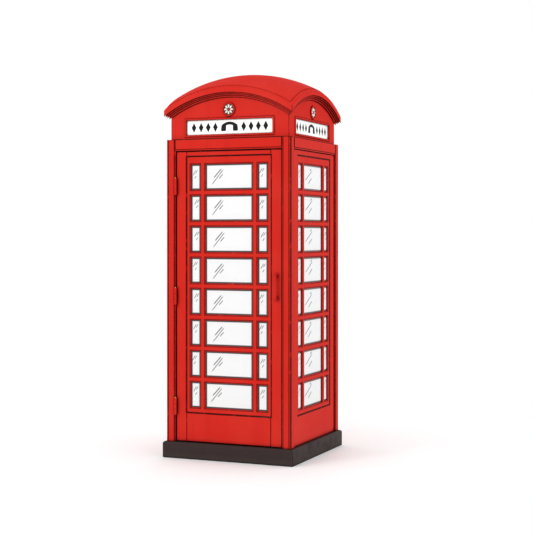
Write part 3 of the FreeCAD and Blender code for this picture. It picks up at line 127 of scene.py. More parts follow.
# %% Wires
class Wire:
    """A number that a node gives. Arithmetic on it adds Math nodes to its finish."""

    def __init__(self, finish, socket):
        self.finish = finish
        self.socket = socket

    def __add__(self, other):
        return self.finish.math("ADD", self, other)

    def __sub__(self, other):
        return self.finish.math("SUBTRACT", self, other)

    def __rsub__(self, other):
        return self.finish.math("SUBTRACT", other, self)

    def __mul__(self, other):
        return self.finish.math("MULTIPLY", self, other)

    __radd__ = __add__
    __rmul__ = __mul__

print("wires carry", ", ".join(sorted(name for name in vars(Wire) if name.startswith("__r"))))

# %% [markdown]
# ## A finish and its nodes
#
# Paint, glass and metal are each one recipe: a colour, how rough it is and how it catches light.
# `Finish` owns one material for a recipe. Its `node` method adds any node, its settings first and
# then its sockets, so that a long recipe still reads from top to bottom.

# %% Finishes
class Finish:
    """A material with one Principled shader. Sockets that stay the same all over are set on it."""

    def __init__(self, name, **fixed):
        self.material = bpy.data.materials.new(name)
        self.material.use_nodes = True
        self.tree = self.material.node_tree
        self.shader = self.tree.nodes["Principled BSDF"]
        self.set(**fixed)

    def fill(self, node, sockets):
        for key, value in sockets.items():
            if isinstance(value, Wire):
                self.tree.links.new(value.socket, node.inputs[key])
            else:
                node.inputs[key].default_value = value

    def set(self, **sockets):
        self.fill(self.shader, {key.replace("_", " "): value for key, value in sockets.items()})

    def node(self, kind, settings=None, sockets=None, out=0):
        made = self.tree.nodes.new(kind)
        for key, value in (settings or {}).items():
            setattr(made, key, value)
        self.fill(made, sockets or {})
        if isinstance(out, tuple):
            return [Wire(self, made.outputs[key]) for key in out]
        return Wire(self, made.outputs[out])

    def math(self, operation, *values):
        return self.node("ShaderNodeMath", {"operation": operation}, dict(enumerate(values)))

print("a finish can", ", ".join(name for name in vars(Finish) if not name.startswith("_")))

# %% [markdown]
# ## Words for surfaces
#
# Every finish below is built from the same few ideas. The first are cloudy patches, fine grain
# and long streaks, a soft step between two levels and one colour laid over another. The clouds
# read the object's own coordinates, so the marks stay on a door when it swings open. Colours are
# written as a paint chart gives them.

# %% Patterns
def place(finish, stretch=(1, 1, 1)):
    """The point on the object, stretched so that a pattern is long or fine along an axis."""
    point = finish.node("ShaderNodeTexCoord", out="Object")
    return finish.node("ShaderNodeVectorMath", {"operation": "MULTIPLY"}, {0: point, 1: stretch})


def clouds(finish, scale, detail=3.0, stretch=(1, 1, 1), rough=0.5):
    """Soft patches between 0 and 1. A larger scale or stretch makes them smaller."""
    sockets = {"Vector": place(finish, stretch), "Scale": scale, "Detail": detail,
               "Roughness": rough}
    return finish.node("ShaderNodeTexNoise", sockets=sockets, out="Fac")


def step(finish, value, low, high):
    """0 below low and 1 above high, with a soft rise between them."""
    sockets = {"Value": value, "From Min": low, "From Max": high}
    return finish.node("ShaderNodeMapRange", {"interpolation_type": "SMOOTHSTEP"}, sockets)


def over(finish, mask, under, top):
    """The top colour over the under one, as far as the mask says."""
    return finish.node("ShaderNodeMix", {"data_type": "RGBA"}, {0: mask, 6: under, 7: top}, out=2)


def rgb(red, green, blue):
    """A colour as a paint chart gives it, 0 to 255, in the linear values that a shader needs."""
    def linear(part):
        share = part / 255
        return share / 12.92 if share <= 0.04045 else ((share + 0.055) / 1.055) ** 2.4
    return (linear(red), linear(green), linear(blue), 1.0)

print("patterns: clouds, step and over, and white is", rgb(255, 255, 255))

# %% [markdown]
# ## Words for dirt, painted shade, wear and relief
#
# Dirt gathers in corners and paint wears off outer edges. Both could be painted by hand, but rays
# find them on every piece alike. Ambient occlusion tells where the space is walled in, which is
# the corners, and the same measure taken inside the solid finds the edges. A colour darkened in
# the corners by it is painted shade as well as dirt. A mesh can also carry a mark from point to
# point, for what the rays can't tell apart.

# %% Dirt, painted shade and wear
OCCLUSION_SAMPLES = 6


def openness(finish, reach, **settings):
    """How free the space within reach is: 1 in the open and 0 where it is walled in."""
    settings["samples"] = OCCLUSION_SAMPLES
    return finish.node("ShaderNodeAmbientOcclusion", settings, {"Distance": reach}, out="AO")


def corners(finish, reach, low, high):
    """1 in corners and gaps that are narrower than reach, and 0 on open surfaces. A colour darkened
    by it is painted shade as well as dirt.
    """
    return 1 - step(finish, openness(finish, reach), low, high)


def rims(finish, reach, low, high):
    """1 along outer edges and 0 on flats, by how near the next face is inside the metal."""
    return 1 - step(finish, openness(finish, reach, inside=True, only_local=True), low, high)


def marked(finish, name):
    """A number that the mesh carries from point to point under that name."""
    return finish.node("ShaderNodeAttribute", {"attribute_name": name}, out="Fac")


def bump(finish, height, depth, strength):
    """A surface that rises with height, by up to depth in metres."""
    sockets = {"Height": height, "Distance": depth, "Strength": strength}
    return finish.node("ShaderNodeBump", sockets=sockets, out="Normal")

print("patterns: corners, rims, marked and bump")

# %% [markdown]
# ## Red enamel
#
# The castings and the teak door carry several coats of gloss red, brushed on in the open. The
# brush leaves fine lines, the sand mould leaves a slight unevenness under them, and years of
# weather chalk the paint in soft patches and draw faint streaks down it. Every corner is darkened
# from ambient occlusion, which is soot and painted shade together, and the paint is worn through
# to a dark primer on outer edges and chamfers. Those dark lines are what make the panels read as
# separate castings, so they are stronger here than any other mark. Small fittings get thin lines
# and the castings wide ones.

# %% Red enamel
RED = rgb(205, 38, 28)
RED_CHALKED = rgb(210, 48, 37)
RED_DEEP = rgb(186, 28, 21)
SOOT_AND_SHADE = rgb(18, 5, 5)
WORN = rgb(34, 9, 8)
GLOSS = 0.13
TIGHT = 9 * MM


def red_enamel(name, brush, grain, dirt_and_shade, rim, haze):
    """brush sets how the strokes run and grain how far the sand shows. The next one is the width of
    the dark corners, which are soot and painted shade together, rim is the width of the worn dark
    edges, and haze is how blurred the gloss is."""
    finish = Finish(name, Specular_IOR_Level=0.0, Coat_Roughness=haze)
    chalk = step(finish, clouds(finish, 3.1, 4), 0.42, 0.72)
    streak = step(finish, clouds(finish, 1.0, 3, (15, 15, 0.8)), 0.5, 0.85)
    colour = over(finish, chalk * 0.7, RED, RED_CHALKED)
    colour = over(finish, streak * 0.4, colour, RED_DEEP)
    edge = finish.math("MAXIMUM", marked(finish, "arris"), rims(finish, rim, 0.55, 0.9))
    thin = edge * step(finish, clouds(finish, 26, 3), 0.2, 0.45)
    colour = over(finish, thin * 0.9, colour, WORN)
    # Corners darkened from ambient occlusion: soot and painted shade together.
    wide, tight = corners(finish, dirt_and_shade, 0.5, 0.9), corners(finish, TIGHT, 0.5, 0.92)
    grime_and_shade = finish.math("MAXIMUM", wide, tight)
    colour = over(finish, grime_and_shade * (0.8 + 0.2 * clouds(finish, 40, 2)), colour, SOOT_AND_SHADE)
    strokes = clouds(finish, 1.0, 4, brush)
    sand = clouds(finish, 160, 2)
    waves = clouds(finish, 11, 2)
    height = strokes * 0.35 + sand * grain + waves * 1.4
    finish.set(Base_Color=colour,
               Roughness=0.24 + 0.16 * chalk + 0.1 * strokes + 0.3 * grime_and_shade,
               Coat_Weight=GLOSS - GLOSS * grime_and_shade,
               Normal=bump(finish, height, 1.1 * MM, 0.55))
    return finish.material

finishes = {
    "iron_red": red_enamel("red_enamel_on_fittings", brush=(210, 210, 40), grain=0.4,
                           dirt_and_shade=20 * MM, rim=1.5 * MM, haze=0.14),
    "teak_red": red_enamel("red_enamel_on_teak", brush=(330, 330, 9), grain=0.2,
                           dirt_and_shade=36 * MM, rim=6 * MM, haze=0.14),
}
casting_red = red_enamel("red_enamel_on_castings", brush=(210, 210, 6), grain=0.55,
                         dirt_and_shade=36 * MM, rim=6 * MM, haze=0.14)
roof_red = red_enamel("red_enamel_on_roof", brush=(90, 90, 90), grain=0.55,
                      dirt_and_shade=10 * MM, rim=3 * MM, haze=0.45)
print("red enamel on fittings, teak, castings and the roof")

# %% [markdown]
# ## Dark plinth paint
#
# The sills stand on the pavement and get a bitumen paint: nearly black, warm, and satin where the
# red is glossy. Rain splashes a pale dust on the lower part, and shoes leave level scuffs. The
# height on the piece tells how low a point is, with some noise so that the dust ends unevenly.

# %% Plinth
PLINTH = rgb(58, 48, 47)
PLINTH_BLOTCH = rgb(50, 43, 41)
PLINTH_SOOT_AND_SHADE = rgb(12, 10, 10)
DUST = rgb(80, 71, 66)
DUST_LINE = 20 * MM
DUST_END = 75 * MM


def plinth_paint():
    finish = Finish("bitumen_paint_on_iron", Specular_IOR_Level=0.04)
    height = finish.node("ShaderNodeSeparateXYZ", sockets={0: place(finish)}, out=("Z",))[0]
    low = 1 - step(finish, height + 0.05 * clouds(finish, 9, 4), DUST_LINE, DUST_END)
    blotch = step(finish, clouds(finish, 14, 5), 0.45, 0.7)
    scuff = step(finish, clouds(finish, 1.0, 5, (16, 16, 130)), 0.62, 0.72)
    colour = over(finish, blotch * 0.25, PLINTH, PLINTH_BLOTCH)
    colour = over(finish, low * 0.35 + scuff * 0.3, colour, DUST)
    # Corners darkened from ambient occlusion: painted shade together with soot.
    colour = over(finish, corners(finish, 25 * MM, 0.4, 0.9) * 0.8, colour, PLINTH_SOOT_AND_SHADE)
    cast = clouds(finish, 130, 3)
    finish.set(Base_Color=colour, Roughness=0.42 + 0.2 * blotch + 0.2 * low,
               Normal=bump(finish, cast + 1.5 * clouds(finish, 12, 2), 1.2 * MM, 0.6))
    return finish.material

finishes["iron_dark"] = plinth_paint()
print("plinth paint")

# %% [markdown]
# ## Concrete floor
#
# The floor inside is trowelled concrete, seen only when the door is open. Two sizes of speckle
# give sand and stone, and a coarse cloud gives the patches where the trowel pressed it smoother.

# %% Concrete
CEMENT = rgb(150, 146, 138)
CEMENT_SMOOTH = rgb(176, 171, 162)
SAND = rgb(104, 98, 92)
STONE = rgb(198, 192, 182)
FLOOR_DIRT_AND_SHADE = rgb(60, 54, 50)


def concrete():
    finish = Finish("trowelled_concrete", Specular_IOR_Level=0.3)
    patches = clouds(finish, 7, 5)
    sand = clouds(finish, 420, 2)
    stones = finish.node("ShaderNodeTexVoronoi", {"feature": "F1"},
                         {"Vector": place(finish), "Scale": 190.0}, out="Distance")
    colour = over(finish, step(finish, patches, 0.35, 0.7), CEMENT, CEMENT_SMOOTH)
    colour = over(finish, step(finish, sand, 0.55, 0.75) * 0.5, colour, SAND)
    colour = over(finish, (1 - step(finish, stones, 0.1, 0.25)) * 0.35, colour, STONE)
    # Corners darkened from ambient occlusion: painted shade together with dirt.
    colour = over(finish, corners(finish, 50 * MM, 0.4, 0.9) * 0.6, colour, FLOOR_DIRT_AND_SHADE)
    finish.set(Base_Color=colour, Roughness=0.7 + 0.2 * sand,
               Normal=bump(finish, sand + 2.0 * patches, 0.9 * MM, 0.7))
    return finish.material

finishes["concrete"] = concrete()
print("concrete")

# %% [markdown]
# ## Painted glint strokes
#
# A few short slanting strokes near each pane's upper corner, flatter ones on the sides, are painted
# reflections: glints on the glass, drawn in grey instead of cast by a lamp. A stroke is only a
# straight line with a width, so arithmetic can draw it without an image and keep it sharp from
# near: how far along the line a point lies, and how far aside. Each one is given by its start, its
# end and its half width in millimetres.

# %% Strokes
def stroke(finish, across, down, start, end, width):
    """1 on a straight stroke between two places of a pane, in metres from its upper left.
    It is widest in the middle and fades towards its ends."""
    run = (end[0] - start[0], end[1] - start[1])
    length = math.hypot(*run)
    ahead = (run[0] / length, run[1] / length)
    along = (across - start[0]) * ahead[0] + (down - start[1]) * ahead[1]
    aside = finish.math("ABSOLUTE", (across - start[0]) * ahead[1] - (down - start[1]) * ahead[0])
    past = finish.math("ABSOLUTE", along - length / 2)
    inside = 1 - step(finish, past, 0.3 * length, 0.5 * length)
    half = width * (0.3 + 0.7 * inside)
    return inside * (1 - step(finish, aside, half * 0.6, half))

WIDE_STROKES = [((34, 142), (132, 26), 3.4),
                ((50, 96), (116, 24), 4.4),
                ((90, 98), (124, 62), 3.6)]
NARROW_STROKES = [((12, 66), (36, 24), 3.0),
                  ((30, 54), (48, 26), 2.8),
                  ((24, 86), (40, 64), 2.8)]
FLAT_STROKES = [((20, 108), (170, 26), 4.4),
                ((120, 34), (150, 20), 5.2),
                ((84, 122), (160, 76), 4.6)]
print("strokes:", len(WIDE_STROKES + NARROW_STROKES + FLAT_STROKES), "in three sets")

# %% [markdown]
# ## Window glass
#
# From outside by day the panes are brighter than the cabin behind them, so they read as white
# with only a hint of what is inside. Real clear glass would show the cabin or mirror a studio, so
# the glass gets a pale film, a painted reflection of the bright day, and lets a little through. The
# sheets are drawn glass, not quite flat, and old sealant and dust make a dark line round the edge.
# The painted glint strokes and the line are drawn from two maps that the pane's own mesh carries,
# so every pane is marked in its own corner.

# %% Glass
PAINTED_DAYLIGHT = rgb(250, 251, 251)
PAINTED_GLINT = rgb(70, 71, 74)
SEAL = rgb(28, 22, 21)
GLASS_LET_THROUGH = 0.12


def window_glass(strokes):
    """strokes are the painted glint strokes that this glass carries."""
    finish = Finish("window_glass", Roughness=0.06, IOR=1.5, Specular_IOR_Level=0.5)
    shine = finish.node("ShaderNodeUVMap", {"uv_map": "shine"})
    across, down = finish.node("ShaderNodeSeparateXYZ", sockets={0: shine}, out=("X", "Y"))
    # The strokes gathered here are painted glints, reflections drawn in grey.
    glints = 0.0
    for start, end, width in strokes:
        start, end = [v * MM for v in start], [v * MM for v in end]
        drawn = stroke(finish, across, down, start, end, width * MM)
        glints = finish.math("MAXIMUM", glints, drawn)
    edge = 1 - step(finish, marked(finish, "inset"), 0.55, 0.85)
    # The pale film under the strokes is a painted reflection of the bright day.
    colour = over(finish, glints * 0.9, PAINTED_DAYLIGHT, PAINTED_GLINT)
    colour = over(finish, edge * 0.95, colour, SEAL)
    haze = 0.04 * clouds(finish, 5, 3)
    waves = clouds(finish, 2.2, 1, (1, 1, 0.5))
    finish.set(Base_Color=colour,
               Alpha=finish.math("MINIMUM", 1.0 - GLASS_LET_THROUGH - haze + glints + edge, 1.0),
               Normal=bump(finish, waves, 20 * MM, 0.25))
    return finish.material

door_glass = [window_glass(WIDE_STROKES), window_glass(NARROW_STROKES)]
side_glass = [window_glass(FLAT_STROKES), window_glass(NARROW_STROKES)]
print("window glass lets", GLASS_LET_THROUGH, "through")

# %% [markdown]
# ## Opal glass
#
# The four signs under the roof and the lamp's bowl are milky glass with a light behind them.
# They are plain white with the faintest cloudiness. The signs glow only a little by day, while
# the lamp is what lights the telephone once the door has closed.

# %% Opal glass
MILK = rgb(246, 247, 245)
OPAL_DIRT_AND_SHADE = rgb(52, 46, 44)
SIGN_GLOW = 0.12
LAMP_GLOW = 14.0


def opal(name, colour, glow):
    finish = Finish(name, Roughness=0.16, Emission_Strength=glow)
    milk = step(finish, clouds(finish, 9, 3), 0.35, 0.7)
    white = over(finish, milk, colour, MILK)
    # Corners darkened from ambient occlusion: painted shade together with dirt.
    dirty_and_shaded = over(finish, corners(finish, 12 * MM, 0.35, 0.85) * 0.85, white, OPAL_DIRT_AND_SHADE)
    finish.set(Base_Color=dirty_and_shaded, Emission_Color=dirty_and_shaded,
               Normal=bump(finish, clouds(finish, 8, 2), 2 * MM, 0.3))
    return finish.material

finishes["opal_glass"] = opal("opal_sign_glass", rgb(255, 255, 252), SIGN_GLOW)
finishes["lamp_glass"] = opal("opal_lamp_glass", rgb(255, 252, 242), LAMP_GLOW)
print("opal glass")

# %% [markdown]
# ## Metals
#
# The hinge pins and the larger screws inside are brass. The dial's wheel and the small fittings
# of the telephone are chromed, and bolts, kick plate and coin works are plain steel. Metal shows
# its history in how it reflects, so each one varies its roughness first: long fine scratches
# along the way it was polished, and dull patches where nobody rubs it.

# %% Metals
METAL_DIRT_AND_SHADE = rgb(30, 26, 24)


def metal(name, bright, dull, scratches, shine, tarnish):
    finish = Finish(name, Metallic=1.0, Specular_IOR_Level=0.5)
    lines = clouds(finish, 1.0, 5, scratches, 0.7)
    patches = step(finish, clouds(finish, 28, 4), 0.5, 0.75)
    # Corners darkened from ambient occlusion: painted shade together with dirt.
    dirt_and_shade = corners(finish, 6 * MM, 0.35, 0.85)
    colour = over(finish, patches * tarnish, bright, dull)
    colour = over(finish, dirt_and_shade * 0.8, colour, METAL_DIRT_AND_SHADE)
    finish.set(Base_Color=colour,
               Roughness=shine + 0.12 * lines + 0.25 * patches * tarnish + 0.3 * dirt_and_shade,
               Normal=bump(finish, lines, 0.15 * MM, 0.4))
    return finish.material

finishes["brass"] = metal("lacquered_brass", rgb(226, 190, 120), rgb(150, 108, 60),
                          scratches=(60, 900, 900), shine=0.16, tarnish=0.7)
finishes["steel"] = metal("bright_steel", rgb(200, 200, 198), rgb(128, 122, 116),
                          scratches=(900, 900, 60), shine=0.24, tarnish=0.6)
finishes["chrome"] = metal("chrome_plate", rgb(222, 224, 226), rgb(168, 170, 172),
                           scratches=(700, 70, 700), shine=0.06, tarnish=0.3)
print("brass, steel and chrome")

# %% [markdown]
# ## Enamels and mouldings inside
#
# The telephone's case is black stove enamel, hard and even, with a fine orange-peel skin. The
# handset, its cradle and the shelf are polished black phenolic, which is glossier and dulls where
# hands touch it. Brackets and holders have a pale grey paint. The ceiling, the notice frame and
# the dial's plate are cream enamel. They differ only in colour, gloss and skin, so one recipe
# with those as its settings makes all four.

# %% Enamels
ENAMEL_DIRT_AND_SHADE = rgb(14, 12, 11)


def enamel(name, colour, worn, shine, peel, coat):
    finish = Finish(name, Specular_IOR_Level=0.5, Coat_Roughness=0.05)
    handled = step(finish, clouds(finish, 19, 4), 0.45, 0.72)
    skin = clouds(finish, peel, 2)
    # Corners darkened from ambient occlusion: painted shade together with dirt.
    dirt_and_shade = corners(finish, 8 * MM, 0.35, 0.85)
    tone = over(finish, handled * 0.35, colour, worn)
    tone = over(finish, dirt_and_shade * 0.75, tone, ENAMEL_DIRT_AND_SHADE)
    tone = over(finish, marked(finish, "arris") * 0.4, tone, worn)
    finish.set(Base_Color=tone,
               Roughness=shine + 0.16 * handled + 0.25 * dirt_and_shade,
               Coat_Weight=coat - coat * dirt_and_shade,
               Normal=bump(finish, skin + 2.0 * clouds(finish, 25, 2), 0.3 * MM, 0.5))
    return finish.material

finishes["case_black"] = enamel("black_stove_enamel", rgb(24, 24, 26), rgb(58, 57, 56),
                                shine=0.22, peel=700, coat=0.5)
finishes["bakelite"] = enamel("black_phenolic", rgb(17, 16, 16), rgb(44, 38, 34),
                              shine=0.1, peel=900, coat=0.8)
finishes["steel_grey"] = enamel("grey_paint", rgb(168, 170, 167), rgb(138, 138, 134),
                                shine=0.4, peel=500, coat=0.0)
finishes["white_enamel"] = enamel("cream_enamel", rgb(240, 238, 228), rgb(214, 208, 190),
                                  shine=0.2, peel=600, coat=0.4)
print("enamels and phenolic")

# %% [markdown]
# ## Varnished board
#
# The backboard is plywood under varnish. Noise pulled out along the upright gives the long figure
# of the face veneer, a second one at a seventh of its width gives the finer lines, and a very
# fine one gives the pores.

# %% Board
VENEER = rgb(172, 126, 80)
VENEER_DARK = rgb(132, 90, 52)
PORES = rgb(86, 55, 30)
BOARD_DIRT_AND_SHADE = rgb(40, 26, 16)


def varnished_board():
    finish = Finish("varnished_board", Specular_IOR_Level=0.4, Coat_Roughness=0.15, Coat_Weight=0.4)
    broad = clouds(finish, 1.0, 3, (11, 11, 0.8), 0.6)
    fine = clouds(finish, 1.0, 4, (75, 75, 2.4), 0.6)
    figure = step(finish, 0.55 * broad + 0.45 * fine, 0.36, 0.64)
    pores = step(finish, clouds(finish, 1.0, 3, (900, 900, 26)), 0.58, 0.7)
    colour = over(finish, figure * 0.8, VENEER, VENEER_DARK)
    colour = over(finish, pores * 0.55, colour, PORES)
    # Corners darkened from ambient occlusion: painted shade together with dirt.
    colour = over(finish, corners(finish, 20 * MM, 0.4, 0.9) * 0.6, colour, BOARD_DIRT_AND_SHADE)
    finish.set(Base_Color=colour, Roughness=0.32 + 0.2 * pores,
               Normal=bump(finish, figure * 0.4 - pores, 0.3 * MM, 0.5))
    return finish.material

finishes["board"] = varnished_board()
print("board")

# %% [markdown]
# ## Making and keeping a piece
#
# `piece` turns finished mesh code into an object of the kiosk: it gets its finish, rides on a
# body, and may stand for the CAD nodes that it was made from.

# %% Pieces
def piece(name, shape, body, slot, stands_for=(), finish=None):
    """An object that rides on a body, in its slot's finish if no other is given."""
    mesh = bpy.data.meshes.new(name)
    shape.to_mesh(mesh)
    shape.free()
    made = bpy.data.objects.new(name, mesh)
    bpy.context.scene.collection.objects.link(made)
    for material in finish or [finishes[slot]]:
        mesh.materials.append(material)
    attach(made, body)
    if stands_for:
        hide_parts(*stands_for)
    return made

print("finishes to hand:", len(finishes))

# %% [markdown]
# ## Reading the CAD's meshes
#
# A casting's flat face comes from the CAD as many triangles. `welded` joins them up again, so
# that an edge of the mesh is an edge of the iron and can be rounded. `islands` finds the separate
# solids of a node's mesh, because one node may hold all the panes or all four signs.

# %% Solids of a node
WELD = 0.002 * MM
FLAT = math.radians(0.6)


def welded(node):
    """The node's mesh with its faces joined up and its flat faces whole again."""
    shape = bmesh.new()
    shape.from_mesh(nodes[node].data)
    bmesh.ops.remove_doubles(shape, verts=shape.verts, dist=WELD)
    bmesh.ops.dissolve_limit(shape, angle_limit=FLAT, verts=shape.verts, edges=shape.edges)
    return shape


def islands(node):
    """The lowest and highest corner of each separate solid in a node."""
    shape = welded(node)
    left, boxes = set(shape.verts), []
    while left:
        group, frontier = set(), {left.pop()}
        while frontier:
            vert = frontier.pop()
            group.add(vert)
            frontier.update(other for edge in vert.link_edges for other in edge.verts
                                 if other in left)
            left -= frontier
        low = Vector(map(min, *[v.co for v in group]))
        boxes.append((low, Vector(map(max, *[v.co for v in group]))))
    shape.free()
    return sorted(boxes, key=lambda box: tuple(round(c, 4) for c in box[0]))

print("window_glass holds", len(islands("window_glass")), "panes and door_glass",
      len(islands("door_glass")))

# %% [markdown]
# ## Easing the castings
#
# No edge on iron or painted wood is knife-sharp, and it is the thin line along each edge that
# makes a casting look solid. The CAD keeps its edges sharp, so the castings, the boards and the
# larger mouldings are copied and their long outer edges are rounded. An edge beside a very short
# one is left alone, where a round would run into itself. Corners that the CAD already rounds and
# the long chamfers of the sashes are found by their shape, because the paint wears there as well.

# %% Edges and strips
HARD = math.radians(28)
ROUND_WIDTH = 1.5 * MM
ROUND_LENGTH = 1000 * MM
CHAMFER_WIDTH = 14 * MM
CHAMFER_LENGTH = 500 * MM
SLOPING = 0.9


def narrow(face):
    """Whether a face is a strip of a corner cast round, or a long chamfer between two flats."""
    length = max(edge.calc_length() for edge in face.edges)
    width = face.calc_area() / length
    cast_round = length > ROUND_LENGTH and width < ROUND_WIDTH
    sloping = max(map(abs, face.normal)) < SLOPING
    return cast_round or (sloping and length > CHAMFER_LENGTH and width < CHAMFER_WIDTH)


def outer_edges(shape, shortest, room):
    """Sharp outer edges that are long enough, and whose neighbours leave room for a round."""
    found = []
    for edge in shape.edges:
        beside = [other for end in edge.verts for other in end.link_edges]
        if (edge.is_convex and edge.calc_face_angle(0.0) > HARD and edge.calc_length() > shortest
                and all(other.calc_length() > room for other in beside)):
            found.append(edge)
    return found

print("corners over", round(math.degrees(HARD)), "degrees are rounded")

# %% [markdown]
# ## Rounding them
#
# A bevel of two steps is enough for a round to catch the light. It is wide on sills and posts and
# narrow on glazing bars and boards, as a moulder's fillets are. The new strips are marked as
# `arris`, so that the paint can wear there. Face-weighted normals keep the wide flats flat beside
# the rounded strips.

# %% Eased castings
def eased(node, radius, shortest=None, finish=None):
    """Stands a copy with rounded edges in for a node. Edges up to shortest stay sharp."""
    shape = welded(node)
    shortest = shortest or 6 * radius
    arris = shape.loops.layers.float.new("arris")
    shape.normal_update()
    outer = outer_edges(shape, shortest, min(radius, shortest / 2))
    strips = bmesh.ops.bevel(shape, geom=outer, offset=radius, segments=2, profile=0.5,
                             affect="EDGES", clamp_overlap=True)["faces"]
    for face in strips + [face for face in shape.faces if narrow(face)]:
        for loop in face.loops:
            loop[arris] = 1.0
    for face in shape.faces:
        face.smooth = True
    for edge in shape.edges:
        edge.smooth = edge.calc_face_angle(0.0) < HARD
    slot = slot_of_node[node]
    coat = finish or [casting_red if slot == "iron_red" else finishes[slot]]
    made = piece(node + "_painted", shape, body_of_node[node], slot, [node], coat)
    made.modifiers.new("weighted", "WEIGHTED_NORMAL").keep_sharp = True

EASE = {
    3.2 * MM: ["post_front_left", "post_front_right", "post_back_left", "post_back_right",
               "lintel_front", "lintel_back", "lintel_left", "lintel_right",
               "window_frame_left", "window_frame_right", "back_panel",
               "door_hinge_stile", "door_closing_stile", "door_top_rail", "door_bottom_rail"],
    4.0 * MM: ["sill_front", "sill_back", "sill_left", "sill_right"],
    2.2 * MM: ["window_grid_left", "window_grid_right", "door_glazing_grid"],
    1.0 * MM: ["backboard", "shelf", "notice_frame", "phone_case", "door_kick_plate"],
}
for radius, names in EASE.items():
    for name in names:
        eased(name, radius)
eased("roof_casting", 3.0 * MM, finish=[roof_red])
eased("handset", 0.9 * MM, shortest=1.5 * MM)
print("eased", 2 + sum(map(len, EASE.values())), "castings, boards and mouldings")

# %% [markdown]
# ## Panes
#
# Each pane is one sheet seated behind the glazing bars. Its two large faces are cut by a narrow
# inner frame, so that the mesh itself can carry two maps: `inset`, which rises from 0 at the bars
# to 1 a little way in, and `shine`, in metres from the pane's upper left as seen from outside.
# A small shift of `shine` from pane to pane keeps the painted glint strokes from looking printed.
# The wide panes and the narrow ones beside them have strokes of their own.

# %% Panes
import random
hand = random.Random(11)
LAP = 5.5 * MM
SEAL_WIDTH = 12 * MM
WIDE = 200 * MM
DRIFT = (9 * MM, 7 * MM)


def bridge(shape, first, second, side):
    """Quads between two rings of as many points. side is 1 or -1, and -1 turns them over."""
    faces = []
    for n in range(len(first)):
        m = (n + 1) % len(first)
        faces.append(shape.faces.new([first[n], first[m], second[m], second[n]][::side]))
    return faces


def add_pane(shape, low, high, inset, shine):
    """One sheet with a seated rim, an edge band and a clear middle on both faces."""
    size = high - low
    thin = min(range(3), key=lambda axis: size[axis])
    middle = (low + high) / 2
    out = Vector((0, 0, 0))
    out[thin] = 1.0 if middle[thin] > 0 else -1.0
    right = Vector((0, 0, 1)).cross(out)
    half_wide = abs(size.dot(right)) / 2
    half_high = size.z / 2
    shift = [hand.uniform(-most, most) for most in DRIFT]
    rings = {}
    for side in (1, -1):
        for step_in, value in ((0, 0.0), (LAP, 0.0), (LAP + SEAL_WIDTH, 1.0)):
            ring = []
            for u, v in ((-1, -1), (1, -1), (1, 1), (-1, 1)):
                at = middle + out * side * size[thin] / 2 + right * u * (half_wide - step_in)
                vert = shape.verts.new(at + Vector((0, 0, v * (half_high - step_in))))
                vert[inset] = value
                ring.append(vert)
            rings[side, step_in] = ring
    faces = []
    for side in (1, -1):
        steps_in = sorted(key[1] for key in rings if key[0] == side)
        for outer, inner in zip(steps_in, steps_in[1:]):
            faces += bridge(shape, rings[side, outer], rings[side, inner], side)
        faces.append(shape.faces.new(rings[side, steps_in[-1]][::side]))
    faces += bridge(shape, rings[-1, 0], rings[1, 0], 1)
    corner = middle - right * (half_wide - LAP) + Vector((0, 0, half_high - LAP))
    for face in faces:
        face.material_index = 0 if half_wide * 2 > WIDE else 1
        for loop in face.loops:
            away = loop.vert.co - corner
            loop[shine].uv = (away.dot(right) + shift[0], -away.z + shift[1])

print("panes lap", round(LAP / MM, 1), "mm behind the bars")

# %% [markdown]
# ## Setting the panes
#
# The glazier's work is repeated 72 times, so it is done in a loop. Each sheet of the CAD gives
# its box, and a marked sheet of the same size takes its place.

# %% Panes in their sashes
def panes(name, node, glass):
    shape = bmesh.new()
    inset = shape.verts.layers.float.new("inset")
    shine = shape.loops.layers.uv.new("shine")
    for low, high in islands(node):
        add_pane(shape, low, high, inset, shine)
    bmesh.ops.recalc_face_normals(shape, faces=shape.faces)
    return piece(name, shape, body_of_node[node], "clear_glass", [node], glass)

door_panes = panes("door_panes", "door_glass", door_glass)
side_panes = panes("side_panes", "window_glass", side_glass)
print("panes have", len(door_panes.data.polygons) + len(side_panes.data.polygons), "faces")

# %% [markdown]
# ## Thin plates
#
# Several small things are thin plates with a cut outline: the marks on the signs and the two
# halves of a screw head. An outline is a list of points, and arcs fill in its rounds. What stands
# on one side of the kiosk often stands on all four, so one side is drawn and turned by quarters.

# %% Plates
def arc(centre_x, centre_y, radius, start, end, count=14):
    """Points on an arc, from one angle to another in degrees."""
    angles = [math.radians(start + (end - start) * n / count) for n in range(count + 1)]
    return [(centre_x + radius * math.cos(a), centre_y + radius * math.sin(a)) for a in angles]


def front_plate(shape, outline, centre, thick, ease):
    """An outline in millimetres, made into a thin plate that stands out towards the front."""
    back = [shape.verts.new((centre.x + u * MM, centre.y, centre.z + v * MM)) for u, v in outline]
    front = [shape.verts.new(vert.co - Vector((0, thick, 0))) for vert in back]
    shape.faces.new(back[::-1])
    face = shape.faces.new(front)
    bridge(shape, back, front, 1)
    if ease:
        bmesh.ops.bevel(shape, geom=face.edges, offset=ease, segments=2, profile=0.5,
                        affect="EDGES")


def quarters(shape):
    """Repeats what is there on the other three sides."""
    drawn = shape.verts[:] + shape.edges[:] + shape.faces[:]
    for turn in (1, 2, 3):
        copy = bmesh.ops.duplicate(shape, geom=drawn)["geom"]
        verts = [item for item in copy if isinstance(item, bmesh.types.BMVert)]
        bmesh.ops.rotate(shape, verts=verts, matrix=Matrix.Rotation(turn * math.pi / 2, 3, "Z"))
    bmesh.ops.recalc_face_normals(shape, faces=shape.faces)

print("an arc has", len(arc(0, 0, 1, 0, 90)), "points")

